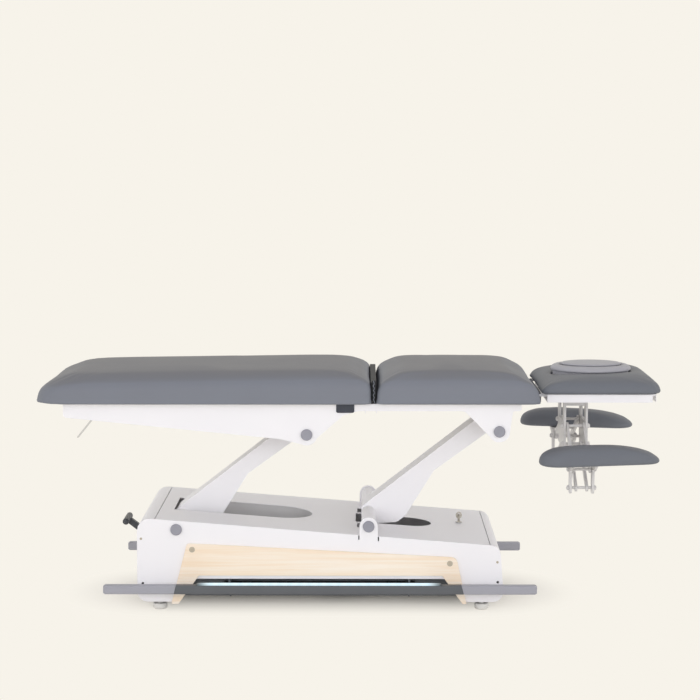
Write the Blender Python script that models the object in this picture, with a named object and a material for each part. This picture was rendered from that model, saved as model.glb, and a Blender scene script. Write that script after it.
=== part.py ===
"""Electric treatment table: a sprung leg section, a fixed seat and a tilting head section on a
parallelogram lift, with armrests, foot bars and retractable transport wheels.

Metres, +Z up, +X towards the head end, -Y is the near side. The origin is on the floor, under
the middle of the table."""

import math

import bmesh
import bpy
from mathutils import Matrix, Vector

# Upholstered sections, from the leg end to the head end; a rounding is (start height, reach, power)
LONG_LENGTH = 1.1215
SECTION_GAP = 0.012
MID_LENGTH = 0.547
HEAD_GAP = 0.012
HEAD_LENGTH = 0.3995
HEAD_OVERHANG = 0.0065
SECTION_WIDTH = 0.650
HEAD_WIDTH = 0.530
LONG_THICKNESS = 0.122
LONG_TAPER = 0.020
MID_THICKNESS = 0.116
SECTION_ROUNDING = (0.061, 0.072, 2.0)
LEG_END_ROUNDING = (0.0, 0.213, 2.9)
LONG_GAP_ROUNDING = (0.031, 0.459, 5.15)
MID_GAP_ROUNDING = (0.011, 0.200, 3.64)
MID_HEAD_ROUNDING = (0.0, 0.2425, 3.27)
LEG_CORNER = 0.090
GAP_CORNER = 0.022
SEAM_ROUNDING = 0.010
HEAD_THICKNESS = 0.0635
HEAD_ROUNDING = (0.0, 0.045, 2.6)
HEAD_SEAT_ROUNDING = (0.0, 0.120, 2.5)
HEAD_END_ROUNDING = (0.0, 0.040, 1.7)
HEAD_SEAT_CORNER = 0.020
HEAD_END_CORNER = 0.070
HEAD_RISE = 0.026
CROWN = 0.006
DRAWN_IN = 0.004
RIM = 0.014
BOARD = 0.018

# Parallelogram lift, drawn at its half way height
PIVOT_FROM_LEG_END = 0.4705
LEFT_PIVOT_Z = 0.275
PIVOT_RUN = 0.640
PIVOT_RISE = 0.011
ARM_LENGTH = 0.536
ARM_ANGLE = math.radians(36.0)
ARM_WIDTH = 0.120
ARM_WALL = 0.005
SHAFT_RADIUS = 0.0125
TUBE_RADIUS = 0.024
CAP_RADIUS = 0.019
CAP_THICKNESS = 0.008
ARM_TOE = 0.030
ARM_HEEL_LENGTH = 0.060
ARM_HEEL_DEPTH = 0.085
ARM_BACK_FOOT = 0.031
ARM_BACK_HEAD = 0.047
ARM_BELLY = 0.014
ARM_CORNER = 0.020

# Base housing
BASE_WIDTH = 0.638
BASE_LEFT_MARGIN = 0.131
BASE_RIGHT_MARGIN = 0.438
BASE_RIGHT_FLARE = 0.0135
BASE_BOTTOM = 0.031
BASE_TOP_OVER_PIVOT = 0.0296
BASE_TOP_SLOPE = 0.078
BASE_LEFT_CORNER = 0.043
BASE_RIGHT_CORNER = 0.035
BASE_FOOT_CORNER = 0.034
PANEL = 0.005
SHEET = 0.0025
COVER_SEAM = 0.002
LEFT_SEAM_MARGIN = 0.0605
RIGHT_SEAM_MARGIN = 0.034
TONGUE_WIDTH = 0.061
SLIT_WIDTH = 0.004
SLIT_DEPTH = 0.016
LEFT_SLOT_LENGTH = 0.470
LEFT_SLOT_LEAD = 0.025
LEFT_SLOT_WIDTH = 0.230
RIGHT_SLOT_LENGTH = 0.262
RIGHT_SLOT_LEAD = 0.044
RIGHT_SLOT_WIDTH = 0.160
FOOT_RADIUS = 0.024
FOOT_HEIGHT = 0.020
FOOT_INSET_Y = 0.040
FOOT_INSET_LEFT = 0.072
FOOT_INSET_RIGHT = 0.059

# Wooden side panels and the recess under them
WOOD = 0.008
WOOD_LEFT = 0.036
WOOD_RIGHT = 0.292
WOOD_LEFT_HEIGHT = 0.230
WOOD_RIGHT_HEIGHT = 0.183
WOOD_LEFT_SLANT = 0.053
WOOD_RIGHT_SLANT = 0.034
WOOD_TOE = 0.026
RECESS_LEFT = 0.075
RECESS_RIGHT = 0.245
RECESS_HEIGHT = 0.121
RECESS_SLANT = 0.068
RECESS_LIP = 0.012

# Upper frame
DECK_OVER_PIVOT = 0.1035
PLATE_INSET_Y = 0.030
PLATE = 0.006
PLATE_LEG_INSET = 0.0960
PLATE_HEAD_INSET = 0.063
PLATE_END_HEIGHT = 0.046
RAIL_HEIGHT = 0.024
LOBE_RADIUS = 0.036
BEAM_WIDTH = 0.040
BEAM_HEIGHT = 0.026
BEAM_WALL = 0.003

# Section hinges
LONG_AXIS_RISE = 0.061
HEAD_AXIS_DROP = 0.0055
LONG_BAR_RADIUS = 0.0045
LONG_PIN_RADIUS = 0.0025
HEAD_BAR_RADIUS = 0.0050
HEAD_PIN_RADIUS = 0.0030
HINGE_PIN_LENGTH = 0.020
HINGE_WEB = 0.003
HINGE_FOOT = 0.060
EAR = 0.004
EAR_INSET_Y = 0.045
HEAD_EAR_INSET_Y = 0.045

# Gas spring under the leg section
SPRING_ANCHOR_X = 0.0415
SPRING_ANCHOR_DROP = 0.016
SPRING_LUG_X = 0.5015
SPRING_LUG_DROP = 0.022
SPRING_Y = 0.100
SPRING_RADIUS = 0.010
SPRING_ROD_RADIUS = 0.004
SPRING_PIN_RADIUS = 0.003
SPRING_TRAVEL_PLAY = 0.0065
SPRING_CYLINDER_LENGTH = 0.260

# Release lever at the leg end
LEVER_FROM_LEG_END = 0.1775
LEVER_DROP = 0.063
LEVER_LENGTH = 0.116
LEVER_ANGLE = math.radians(231.0)
LEVER_THICKNESS = 0.006
LEVER_WIDTH = 0.020
LEVER_EYE_RADIUS = 0.008
LEVER_PIN_RADIUS = 0.003

# Head frame, face opening, the padded collar round it and the plug in the collar
HEAD_FRAME_INSET_Y = 0.015
HEAD_FRAME_SETBACK = 0.020
HEAD_FRAME_END_INSET = 0.0185
HEAD_FRAME_SHEET = 0.004
FACE_CENTRE = 0.184
FACE_LENGTH = 0.190
FACE_WIDTH = 0.140
FACE_RING_WALL = 0.008
COLLAR_LENGTH = 0.2645
COLLAR_WIDTH = 0.236
COLLAR_THICKNESS = 0.030
COLLAR_RISE = 0.018
COLLAR_ROUNDING = 0.010
PLUG_SEAT = 0.045
PLUG_DEPTH = 0.016
PLUG_EDGE = 0.010
PLUG_CROWN = 0.010

# Armrests, the far one set a little higher
REST_BRACKET_X = 0.1305
REST_BRACKET_LENGTH = 0.082
REST_BRACKET_HALF_WIDTH = 0.105
REST_PLATE = 0.008
REST_RIB_Y = 0.076
REST_RIB_WIDTH = 0.024
REST_INNER_Y = 0.090
REST_ARCH_HALF = 0.060
REST_WEB_HEIGHT = 0.022
REST_PIVOT_DROP = 0.100
REST_PIVOT_STEP = 0.062
REST_LINK_LENGTH = 0.240
REST_ANGLE_NEAR = math.radians(29.0)
REST_ANGLE_FAR = math.radians(22.4)
REST_PIN_RADIUS = 0.005
REST_LINK_RADIUS = 0.013
REST_TIE_RADIUS = 0.006
REST_ARM_HALF = 0.018
REST_PAD_RISE = 0.028
REST_PAD_OFFSET = 0.075
REST_PAD_LENGTH = 0.4095
REST_PAD_WIDTH = 0.130
REST_PAD_THICKNESS = 0.065
REST_PAD_CROWN = 0.004
REST_PAD_FAT_END = (0.018, 0.104, 2.1)
REST_PAD_TAPER = (0.0, 0.230, 2.35)
REST_PAD_SIDES = (0.020, 0.050, 2.0)
REST_PAD_CORNER = 0.061
REST_PAD_START = 0.027
REST_PAD_TOE = math.radians(12.3)

# Foot bars
BAR_LENGTH = 1.434
BAR_SIDE = 0.030
BAR_CORE = 0.024
BAR_BEVEL = 0.005
BAR_TIP = 0.006
BAR_CLEARANCE = 0.047
BAR_Z = 0.084
BAR_LEFT_OVERHANG = 0.107
SLEEVE_LENGTH = 0.952
SLEEVE_FROM_BAR_END = 0.237
SLEEVE_SLANT = 0.008
BAR_PIVOT_INSET = 0.057
BAR_PIVOT_RADIUS = 0.006
BAR_ARM_WIDTH = 0.030
BAR_ARM_THICKNESS = 0.008

# Transport wheels and their lever
CASTOR_Z = 0.100
CASTOR_LEFT_OFFSET = 0.0005
CASTOR_RIGHT_OFFSET = 0.2955
CASTOR_SHAFT_RADIUS = 0.010
CASTOR_ARM = 0.085
CASTOR_ARM_ANGLE = math.radians(197.0)
CASTOR_ARM_INSET = 0.149
CASTOR_ARM_PLATE = 0.006
WHEEL_RADIUS = 0.040
WHEEL_WIDTH = 0.030
AXLE_RADIUS = 0.005
PEDAL_LENGTH = 0.250
PEDAL_ANGLE = math.radians(142.3)
PEDAL_RADIUS = 0.010
PEDAL_GRIP_RADIUS = 0.0115
PEDAL_GRIP_LENGTH = 0.130
PEDAL_SLOT_WIDTH = 0.026
PEDAL_SWING = math.radians(35.0)
CRANK_RADIUS = 0.050
CRANK_ANGLE = math.radians(72.5)
LINK_INSET = 0.136
LINK_PIN_RADIUS = 0.004
LINK_PLATE = 0.006
LINK_HEIGHT = 0.016

# Base frame inside the housing
FRAME_PLATE = 0.006
FRAME_LIFT = 0.005
BULKHEAD_LEFT = 0.1755
BULKHEAD_RIGHT = 0.1355
BULKHEAD_HEIGHT = 0.170
BULKHEAD_SIDE = 0.114
BULKHEAD_STRAP = 0.024
BULKHEAD_CORNER = 0.055
STRAP_INSET = 0.089
STRAP_WIDTH = 0.030
SKIRT_THICKNESS = 0.003
SKIRT_HEIGHT = 0.090
END_PLATE_LENGTH = 0.071
END_PLATE_WIDTH = 0.114
TRAY_WIDTH = 0.060

# Lift actuator and its control
CRANK_REACH = 0.0844
CRANK_SLOT_PLAY = 0.002
CRANK_SLOT_TRAVEL = 0.0121
CRANK_EDGE = 0.009
CRANK_PIN_RADIUS = 0.007
CRANK_PLATE = 0.008
CRANK_INNER_Y = 0.022
CRANK_EYE = 0.014
ACTUATOR_TUBE_RADIUS = 0.022
ACTUATOR_ROD_RADIUS = 0.011
ACTUATOR_TUBE_LENGTH = 0.300
ACTUATOR_REST_STROKE = 0.095
MOTOR_LENGTH = 0.110
MOTOR_WIDTH = 0.090
MOTOR_HEIGHT = 0.092
CONTROL_LENGTH = 0.200
CONTROL_WIDTH = 0.180
CONTROL_HEIGHT = 0.070
KEY_X = 0.317
KEY_Y = 0.050
LOCK_RADIUS = 0.012
LOCK_FLANGE = 0.003
LOCK_DEPTH = 0.024
PLUG_RADIUS = 0.0065
KEY_BOW_WIDTH = 0.022
KEY_BOW_HEIGHT = 0.026
KEY_BOW_THICKNESS = 0.0025
INLET_INSET_Y = 0.119
INLET_Z = 0.085
INLET_WIDTH = 0.048
INLET_HEIGHT = 0.028
INLET_DEPTH = 0.030
INLET_FLANGE = 0.004
INLET_WALL = 0.003

# Clearances and facets
GAP = 0.0003
RUN = 0.0002
THRUST = 0.0005
SIDES = 16
SMALL_SIDES = 10
ARC_STEPS = 4

# Places worked out from the sizes above
TOTAL_LENGTH = LONG_LENGTH + SECTION_GAP + MID_LENGTH + HEAD_GAP + HEAD_LENGTH
LONG_X0 = -TOTAL_LENGTH / 2
LONG_X1 = LONG_X0 + LONG_LENGTH
LONG_AXIS_X = LONG_X1 + SECTION_GAP / 2
MID_X0 = LONG_X1 + SECTION_GAP
MID_X1 = MID_X0 + MID_LENGTH
HEAD_AXIS_X = MID_X1 + HEAD_GAP / 2
HEAD_X0 = MID_X1 + HEAD_GAP
HEAD_X1 = HEAD_X0 + HEAD_LENGTH
SECTION_HALF = SECTION_WIDTH / 2
HEAD_HALF = HEAD_WIDTH / 2
EAR_Y = SECTION_HALF - EAR_INSET_Y
HEAD_EAR_Y = HEAD_HALF - HEAD_EAR_INSET_Y

LOWER_LEFT = Vector((LONG_X0 + PIVOT_FROM_LEG_END, LEFT_PIVOT_Z))
LOWER_RIGHT = LOWER_LEFT + Vector((PIVOT_RUN, PIVOT_RISE))
ARM_ALONG = Vector((math.cos(ARM_ANGLE), math.sin(ARM_ANGLE)))
ARM_ACROSS = Vector((-ARM_ALONG.y, ARM_ALONG.x))
UPPER_LEFT = LOWER_LEFT + ARM_LENGTH * ARM_ALONG
UPPER_RIGHT = LOWER_RIGHT + ARM_LENGTH * ARM_ALONG

DECK_Z = UPPER_LEFT.y + DECK_OVER_PIVOT
FRAME_TOP = DECK_Z - GAP
LONG_AXIS_Z = DECK_Z + LONG_AXIS_RISE
HEAD_DECK_Z = DECK_Z + HEAD_RISE
HEAD_AXIS_Z = HEAD_DECK_Z - HEAD_AXIS_DROP
HEAD_FRAME_BOTTOM = DECK_Z - 0.001
HEAD_FRAME_TOP = HEAD_DECK_Z - GAP

BASE_HALF = BASE_WIDTH / 2
INNER_HALF = BASE_HALF - PANEL - GAP
BASE_LEFT = LOWER_LEFT.x - BASE_LEFT_MARGIN
BASE_RIGHT = LOWER_RIGHT.x + BASE_RIGHT_MARGIN
LEFT_SEAM = BASE_LEFT + LEFT_SEAM_MARGIN
RIGHT_SEAM = BASE_RIGHT - RIGHT_SEAM_MARGIN
FRAME_BOTTOM = BASE_BOTTOM + FRAME_LIFT
FRAME_DECK = FRAME_BOTTOM + FRAME_PLATE
PLATE_OUTER = SECTION_HALF - PLATE_INSET_Y
PLATE_INNER = PLATE_OUTER - PLATE
CASTOR_LEFT = Vector((LOWER_LEFT.x + CASTOR_LEFT_OFFSET, CASTOR_Z))
CASTOR_RIGHT = Vector((LOWER_RIGHT.x + CASTOR_RIGHT_OFFSET, CASTOR_Z))
ACTUATOR_Z = LOWER_RIGHT.y - CRANK_REACH
BULKHEADS = (LOWER_LEFT.x + BULKHEAD_LEFT, LOWER_RIGHT.x + BULKHEAD_RIGHT)
FACE_X = HEAD_X0 + FACE_CENTRE
REST_X0 = HEAD_AXIS_X + REST_BRACKET_X - REST_BRACKET_LENGTH / 2
REST_X1 = REST_X0 + REST_BRACKET_LENGTH
REST_TOP_Z = HEAD_FRAME_BOTTOM - REST_PIVOT_DROP
BAR_X0 = BASE_LEFT - BAR_LEFT_OVERHANG
BAR_Y = BASE_HALF + BAR_CLEARANCE
BAR_PIVOT_Y = BASE_HALF - BAR_PIVOT_INSET
STRAP_Y = BASE_HALF - STRAP_INSET
CASTOR_ARM_Y = BASE_HALF - CASTOR_ARM_INSET
LINK_Y = BASE_HALF - LINK_INSET
INLET_Y = BASE_HALF - INLET_INSET_Y
SPRING_ANCHOR = Vector((LONG_AXIS_X - SPRING_ANCHOR_X, DECK_Z - SPRING_ANCHOR_DROP))
SPRING_LUG = Vector((LONG_AXIS_X - SPRING_LUG_X, DECK_Z - SPRING_LUG_DROP))
LEVER_PIVOT = Vector((LONG_X0 + LEVER_FROM_LEG_END, DECK_Z - LEVER_DROP))

# Finishes: colour, roughness, metallic
FINISHES = {
    "white_steel": ((0.86, 0.86, 0.87), 0.45, 0.0),
    "grey_steel": ((0.42, 0.42, 0.45), 0.5, 0.0),
    "bright_steel": ((0.62, 0.62, 0.63), 0.3, 1.0),
    "dark_plastic": ((0.10, 0.10, 0.11), 0.6, 0.0),
    "black_plastic": ((0.03, 0.03, 0.03), 0.5, 0.0),
    "cap_grey": ((0.38, 0.39, 0.41), 0.5, 0.0),
    "birch": ((0.83, 0.70, 0.52), 0.5, 0.0),
    "plywood": ((0.55, 0.42, 0.28), 0.7, 0.0),
    "grey_vinyl": ((0.12, 0.12, 0.13), 0.5, 0.0),
    "pale_vinyl": ((0.42, 0.42, 0.43), 0.5, 0.0),
    "rubber": ((0.55, 0.55, 0.54), 0.8, 0.0),
    "tread": ((0.15, 0.15, 0.16), 0.7, 0.0),
}


def material(name):
    """The named finish, made once."""
    found = bpy.data.materials.get(name)
    if found:
        return found
    colour, roughness, metallic = FINISHES[name]
    made = bpy.data.materials.new(name)
    made.use_nodes = True
    shader = made.node_tree.nodes["Principled BSDF"]
    shader.inputs["Base Color"].default_value = (*colour, 1.0)
    shader.inputs["Roughness"].default_value = roughness
    shader.inputs["Metallic"].default_value = metallic
    return made


def pivot(name, position, parent=None):
    """An empty on a joint's axis, which carries the pieces of one body."""
    empty = bpy.data.objects.new(name, None)
    bpy.context.collection.objects.link(empty)
    empty.parent = parent
    home = Vector(parent["home"]) if parent else Vector()
    empty["home"] = tuple(position)
    empty.location = Vector(position) - home
    return empty


def add(name, solid, carrier, finish):
    """A named piece from a solid drawn in world places, hung on its body's pivot."""
    bmesh.ops.translate(solid, verts=solid.verts, vec=-Vector(carrier["home"]))
    bmesh.ops.recalc_face_normals(solid, faces=solid.faces)
    mesh = bpy.data.meshes.new(name)
    solid.to_mesh(mesh)
    solid.free()
    mesh.shade_smooth()
    mesh.set_sharp_from_angle(angle=math.radians(35))
    piece = bpy.data.objects.new(name, mesh)
    piece.parent = carrier
    piece.data.materials.append(material(finish))
    bpy.context.collection.objects.link(piece)
    return piece


def combine(piece, operation, *solids):
    """Joins solids to a piece, or cuts them from it, through hidden helpers."""
    for solid in solids:
        helper = add(f"{piece.name}_{operation.lower()}", solid, piece.parent, "grey_steel")
        helper.hide_render = True
        helper.display_type = "WIRE"
        modifier = piece.modifiers.new(operation.title(), "BOOLEAN")
        modifier.operation = operation
        modifier.solver = "EXACT"
        modifier.object = helper
    return piece


def join(piece, *solids):
    return combine(piece, "UNION", *solids)


def cut(piece, *solids):
    return combine(piece, "DIFFERENCE", *solids)


def spot(axis, flat, along):
    """A flat point (two coordinates in axis order) and its place along the axis, as a 3-D point."""
    a, b = flat
    return {"X": (along, a, b), "Y": (a, along, b), "Z": (a, b, along)}[axis]


def prism(outline, axis, low, high):
    """An outline pushed along an axis from low to high."""
    solid = bmesh.new()
    ends = [[solid.verts.new(spot(axis, p, along)) for p in outline] for along in (low, high)]
    solid.faces.new(ends[0])
    solid.faces.new(ends[1])
    for i in range(len(outline)):
        solid.faces.new((ends[0][i - 1], ends[0][i], ends[1][i], ends[1][i - 1]))
    return solid


def block(x, y, z):
    """A box from three (low, high) pairs."""
    outline = [(x[0], y[0]), (x[1], y[0]), (x[1], y[1]), (x[0], y[1])]
    return prism(outline, "Z", *z)


def loft(rings):
    """A closed skin over rings of points with flat ends."""
    solid = bmesh.new()
    loops = [[solid.verts.new(p) for p in ring] for ring in rings]
    solid.faces.new(loops[0])
    solid.faces.new(loops[-1])
    for lower, upper in zip(loops, loops[1:]):
        for i in range(len(lower)):
            solid.faces.new((lower[i - 1], lower[i], upper[i], upper[i - 1]))
    return solid


def turned(profile, axis, centre, sides=SIDES):
    """A turned piece: (radius, along) steps around an axis through a flat centre."""
    rings = []
    for radius, along in profile:
        turns = [math.tau * (i + 0.5) / sides for i in range(sides)]
        flats = [(centre[0] + radius * math.cos(t), centre[1] + radius * math.sin(t)) for t in turns]
        rings.append([spot(axis, flat, along) for flat in flats])
    return loft(rings)


def rod(axis, centre, radius, low, high, sides=SIDES):
    return turned([(radius, low), (radius, high)], axis, centre, sides)


def bore(radius, sides=SIDES):
    """Radius of a faceted hole in which a faceted pin of this radius turns freely."""
    return radius / math.cos(math.pi / sides) + RUN


def arc(centre, radius, start, end, steps=ARC_STEPS):
    """Points on an arc, in degrees."""
    turns = [math.radians(start + (end - start) * i / steps) for i in range(steps + 1)]
    return [(centre[0] + radius * math.cos(t), centre[1] + radius * math.sin(t)) for t in turns]


def rounded(corners):
    """An outline from (a, b) or (a, b, radius) corners, with the radii drawn as arcs."""
    outline = []
    count = len(corners)
    for i, corner in enumerate(corners):
        here = Vector(corner[:2])
        if len(corner) == 2:
            outline.append(tuple(here))
            continue
        before = (Vector(corners[i - 1][:2]) - here).normalized()
        after = (Vector(corners[(i + 1) % count][:2]) - here).normalized()
        half = before.angle(after) / 2
        centre = here + (before + after).normalized() * corner[2] / math.sin(half)
        start = here + before * corner[2] / math.tan(half) - centre
        end = here + after * corner[2] / math.tan(half) - centre
        sweep = start.angle_signed(end)
        for step in range(ARC_STEPS + 1):
            turn = Matrix.Rotation(-sweep * step / ARC_STEPS, 2)
            outline.append(tuple(centre + turn @ start))
    return outline


def stadium(first, second, radius, steps=4):
    """An outline with round ends about two points."""
    along = math.degrees(math.atan2(second[1] - first[1], second[0] - first[0]))
    ends = ((second, along - 90), (first, along + 90))
    return [point for centre, start in ends for point in arc(centre, radius, start, start + 180, steps)]


def heading(length, angle):
    return Vector((length * math.cos(angle), length * math.sin(angle)))


def top_z(x):
    """Height of the housing's sloping top."""
    return LOWER_LEFT.y + BASE_TOP_OVER_PIVOT - BASE_TOP_SLOPE * (x - LOWER_LEFT.x)


def recess_outline(lip):
    """The opening under the wooden panel, its top edge lowered by a lip, reaching below the housing."""
    slant = RECESS_SLANT * lip / (RECESS_HEIGHT - WOOD_TOE)
    left = LOWER_LEFT.x + RECESS_LEFT
    right = LOWER_RIGHT.x + RECESS_RIGHT
    top = RECESS_HEIGHT - lip
    ends = ((right + RECESS_SLANT, WOOD_TOE), (left - RECESS_SLANT, WOOD_TOE))
    return [ends[0], (right + slant, top), (left - slant, top), ends[1]]


def capped_shaft(name, centre, reach, carrier):
    """A pivot shaft with a grey cap outside each of the plates that hold it."""
    out = reach + GAP + CAP_THICKNESS
    seat = -reach - GAP
    face = CAP_RADIUS - 0.001
    profile = [(face, -out), (CAP_RADIUS, 0.001 - out), (CAP_RADIUS, seat), (SHAFT_RADIUS, seat)]
    mirrored = [(radius, -along) for radius, along in reversed(profile)]
    return add(name, turned(profile + mirrored, "Y", centre), carrier, "cap_grey")


def shaft_hole(centre, low, high):
    return rod("Y", centre, SHAFT_RADIUS + GAP, low, high)


def build_housing(base):
    """Side panels, sheet covers, wooden panels and feet."""
    tongue = TONGUE_WIDTH / 2
    left_edge = LOWER_RIGHT.x - tongue
    right_edge = LOWER_RIGHT.x + tongue
    outline = rounded([
        (BASE_LEFT, BASE_BOTTOM, BASE_FOOT_CORNER),
        (BASE_LEFT, top_z(BASE_LEFT), BASE_LEFT_CORNER),
        (left_edge - SLIT_WIDTH, top_z(left_edge)),
        (left_edge - SLIT_WIDTH, top_z(left_edge) - SLIT_DEPTH),
        (left_edge, top_z(left_edge) - SLIT_DEPTH),
        *arc(LOWER_RIGHT, tongue, 180, 0, 12),
        (right_edge, top_z(right_edge) - SLIT_DEPTH),
        (right_edge + SLIT_WIDTH, top_z(right_edge) - SLIT_DEPTH),
        (right_edge + SLIT_WIDTH, top_z(right_edge)),
        (BASE_RIGHT, top_z(BASE_RIGHT), BASE_RIGHT_CORNER),
        (BASE_RIGHT + BASE_RIGHT_FLARE, BASE_BOTTOM, BASE_FOOT_CORNER),
        *[(x, max(z, BASE_BOTTOM)) for x, z in recess_outline(RECESS_LIP)],
    ])
    wood_right = LOWER_RIGHT.x + WOOD_RIGHT
    wood_left = LOWER_LEFT.x + WOOD_LEFT
    wood_outline = rounded([
        (wood_left, WOOD_LEFT_HEIGHT, 0.012),
        (wood_right, WOOD_RIGHT_HEIGHT, 0.022),
        (wood_right + WOOD_RIGHT_SLANT, WOOD_TOE),
        *recess_outline(0),
        (wood_left - WOOD_LEFT_SLANT, WOOD_TOE),
    ])
    socket = CASTOR_SHAFT_RADIUS + GAP
    for side, sign in (("near", -1), ("far", 1)):
        faces = sorted((sign * BASE_HALF, sign * (BASE_HALF - PANEL)))
        panel = add(f"side_panel_{side}", prism(outline, "Y", *faces), base, "white_steel")
        for centre in (LOWER_LEFT, LOWER_RIGHT):
            cut(panel, shaft_hole(centre, faces[0] - PANEL, faces[1] + PANEL))
        blind = sorted((sign * (BASE_HALF - 2 * PANEL), sign * (BASE_HALF - PANEL / 2)))
        for centre in (CASTOR_LEFT, CASTOR_RIGHT):
            cut(panel, rod("Y", centre, socket, *blind))
        faces = sorted((sign * (BASE_HALF + GAP), sign * (BASE_HALF + GAP + WOOD)))
        add(f"wood_panel_{side}", prism(wood_outline, "Y", *faces), base, "birch")

    top = [(LEFT_SEAM, top_z(LEFT_SEAM)), (RIGHT_SEAM, top_z(RIGHT_SEAM))]
    under = [(x, z - SHEET) for x, z in reversed(top)]
    cover = add("top_cover", prism(top + under, "Y", -INNER_HALF, INNER_HALF), base, "white_steel")
    slots = (
        (LOWER_LEFT.x - LEFT_SLOT_LEAD, LEFT_SLOT_LENGTH, LEFT_SLOT_WIDTH),
        (LOWER_RIGHT.x - RIGHT_SLOT_LEAD, RIGHT_SLOT_LENGTH, RIGHT_SLOT_WIDTH),
    )
    for start, length, width in slots:
        end = start + length - width / 2
        slot = [(start, -width / 2), *arc((end, 0), width / 2, -90, 90, 14), (start, width / 2)]
        cut(cover, prism(slot, "Z", top_z(end) - 0.1, top_z(start) + 0.1))
    for sign in (-1, 1):
        reach = sorted((sign * 0.10, sign * 0.18))
        cut(cover, block((left_edge - 0.008, left_edge + 0.010), reach, (0.1, top_z(left_edge) + 0.1)))
    key_place = (LOWER_RIGHT.x + KEY_X, KEY_Y)
    cut(cover, rod("Z", key_place, LOCK_RADIUS - LOCK_FLANGE + GAP, 0.1, 0.4))

    build_end_covers(base)
    build_feet(base)


def build_end_covers(base):
    """The curved sheets that close the ends of the housing, folded in under it, with notches for the
    wheels."""
    seam = LEFT_SEAM - COVER_SEAM
    inside = BASE_LEFT + SHEET
    floor = BASE_BOTTOM + SHEET
    fold = BASE_LEFT + BASE_FOOT_CORNER + 2 * SHEET
    left = add("end_cover_left", prism(rounded([
        (seam, top_z(seam)),
        (BASE_LEFT, top_z(BASE_LEFT), BASE_LEFT_CORNER),
        (BASE_LEFT, BASE_BOTTOM, BASE_FOOT_CORNER),
        (fold, BASE_BOTTOM),
        (fold, floor),
        (inside, floor, BASE_FOOT_CORNER - SHEET),
        (inside, top_z(inside) - SHEET, BASE_LEFT_CORNER - SHEET),
        (seam, top_z(seam) - SHEET),
    ]), "Y", -INNER_HALF, INNER_HALF), base, "white_steel")
    slot_half = PEDAL_SLOT_WIDTH / 2
    run = CASTOR_LEFT.x - BASE_LEFT
    slot_top = CASTOR_Z - run * math.tan(PEDAL_ANGLE) + 2.2 * PEDAL_RADIUS
    slot_low = CASTOR_Z - run * math.tan(PEDAL_ANGLE + PEDAL_SWING) - 2.2 * PEDAL_RADIUS
    cut(left, block((BASE_LEFT - SHEET, inside + SHEET), (-slot_half, slot_half), (slot_low, slot_top)))
    notch_x = (BASE_LEFT + 3 * SHEET, fold + SHEET)
    notch_z = (BASE_BOTTOM - SHEET, BASE_BOTTOM + BASE_FOOT_CORNER)
    wheel_y = (CASTOR_ARM_Y - WHEEL_WIDTH - 3 * SHEET, CASTOR_ARM_Y + CASTOR_ARM_PLATE + 3 * SHEET)
    for sign in (-1, 1):
        cut(left, block(notch_x, sorted(sign * y for y in wheel_y), notch_z))

    seam = RIGHT_SEAM + COVER_SEAM
    foot = BASE_RIGHT + BASE_RIGHT_FLARE
    fold = foot - BASE_FOOT_CORNER - 2 * SHEET
    right = add("end_cover_right", prism(rounded([
        (seam, top_z(seam)),
        (BASE_RIGHT, top_z(BASE_RIGHT), BASE_RIGHT_CORNER),
        (foot, BASE_BOTTOM, BASE_FOOT_CORNER),
        (fold, BASE_BOTTOM),
        (fold, floor),
        (foot - SHEET, floor, BASE_FOOT_CORNER - SHEET),
        (BASE_RIGHT - SHEET, top_z(BASE_RIGHT) - SHEET, BASE_RIGHT_CORNER - SHEET),
        (seam, top_z(seam) - SHEET),
    ]), "Y", -INNER_HALF, INNER_HALF), base, "white_steel")
    y = (INLET_Y - INLET_WIDTH / 2, INLET_Y + INLET_WIDTH / 2)
    z = (INLET_Z - INLET_HEIGHT / 2, INLET_Z + INLET_HEIGHT / 2)
    wide = [(low - GAP, high + GAP) for low, high in (y, z)]
    lip = [(low - INLET_FLANGE, high + INLET_FLANGE) for low, high in (y, z)]
    cut(right, block((BASE_RIGHT - INLET_DEPTH, foot + INLET_DEPTH), *wide))
    lean = (top_z(BASE_RIGHT) - lip[1][0]) / (top_z(BASE_RIGHT) - BASE_BOTTOM)
    outside = BASE_RIGHT + BASE_RIGHT_FLARE * lean + GAP
    case = block((outside - INLET_DEPTH, outside + INLET_FLANGE), y, z)
    inlet = add("mains_inlet", case, base, "black_plastic")
    join(inlet, block((outside, outside + INLET_FLANGE), *lip))
    hollow = [(low + INLET_WALL, high - INLET_WALL) for low, high in (y, z)]
    cut(inlet, block((outside + INLET_WALL - INLET_DEPTH * 0.7, outside + INLET_DEPTH), *hollow))


def build_feet(base):
    """Four round rubber feet with stems up to the frame."""
    for along, x in (("left", BASE_LEFT + FOOT_INSET_LEFT), ("right", BASE_RIGHT - FOOT_INSET_RIGHT)):
        for side, sign in (("near", -1), ("far", 1)):
            place = (x, sign * (BASE_HALF - FOOT_INSET_Y))
            profile = [
                (FOOT_RADIUS - 0.004, 0),
                (FOOT_RADIUS, 0.004),
                (FOOT_RADIUS, FOOT_HEIGHT),
                (FOOT_RADIUS / 3, FOOT_HEIGHT),
                (FOOT_RADIUS / 3, FRAME_BOTTOM - GAP),
            ]
            add(f"foot_{side}_{along}", turned(profile, "Z", place), base, "rubber")


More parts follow.
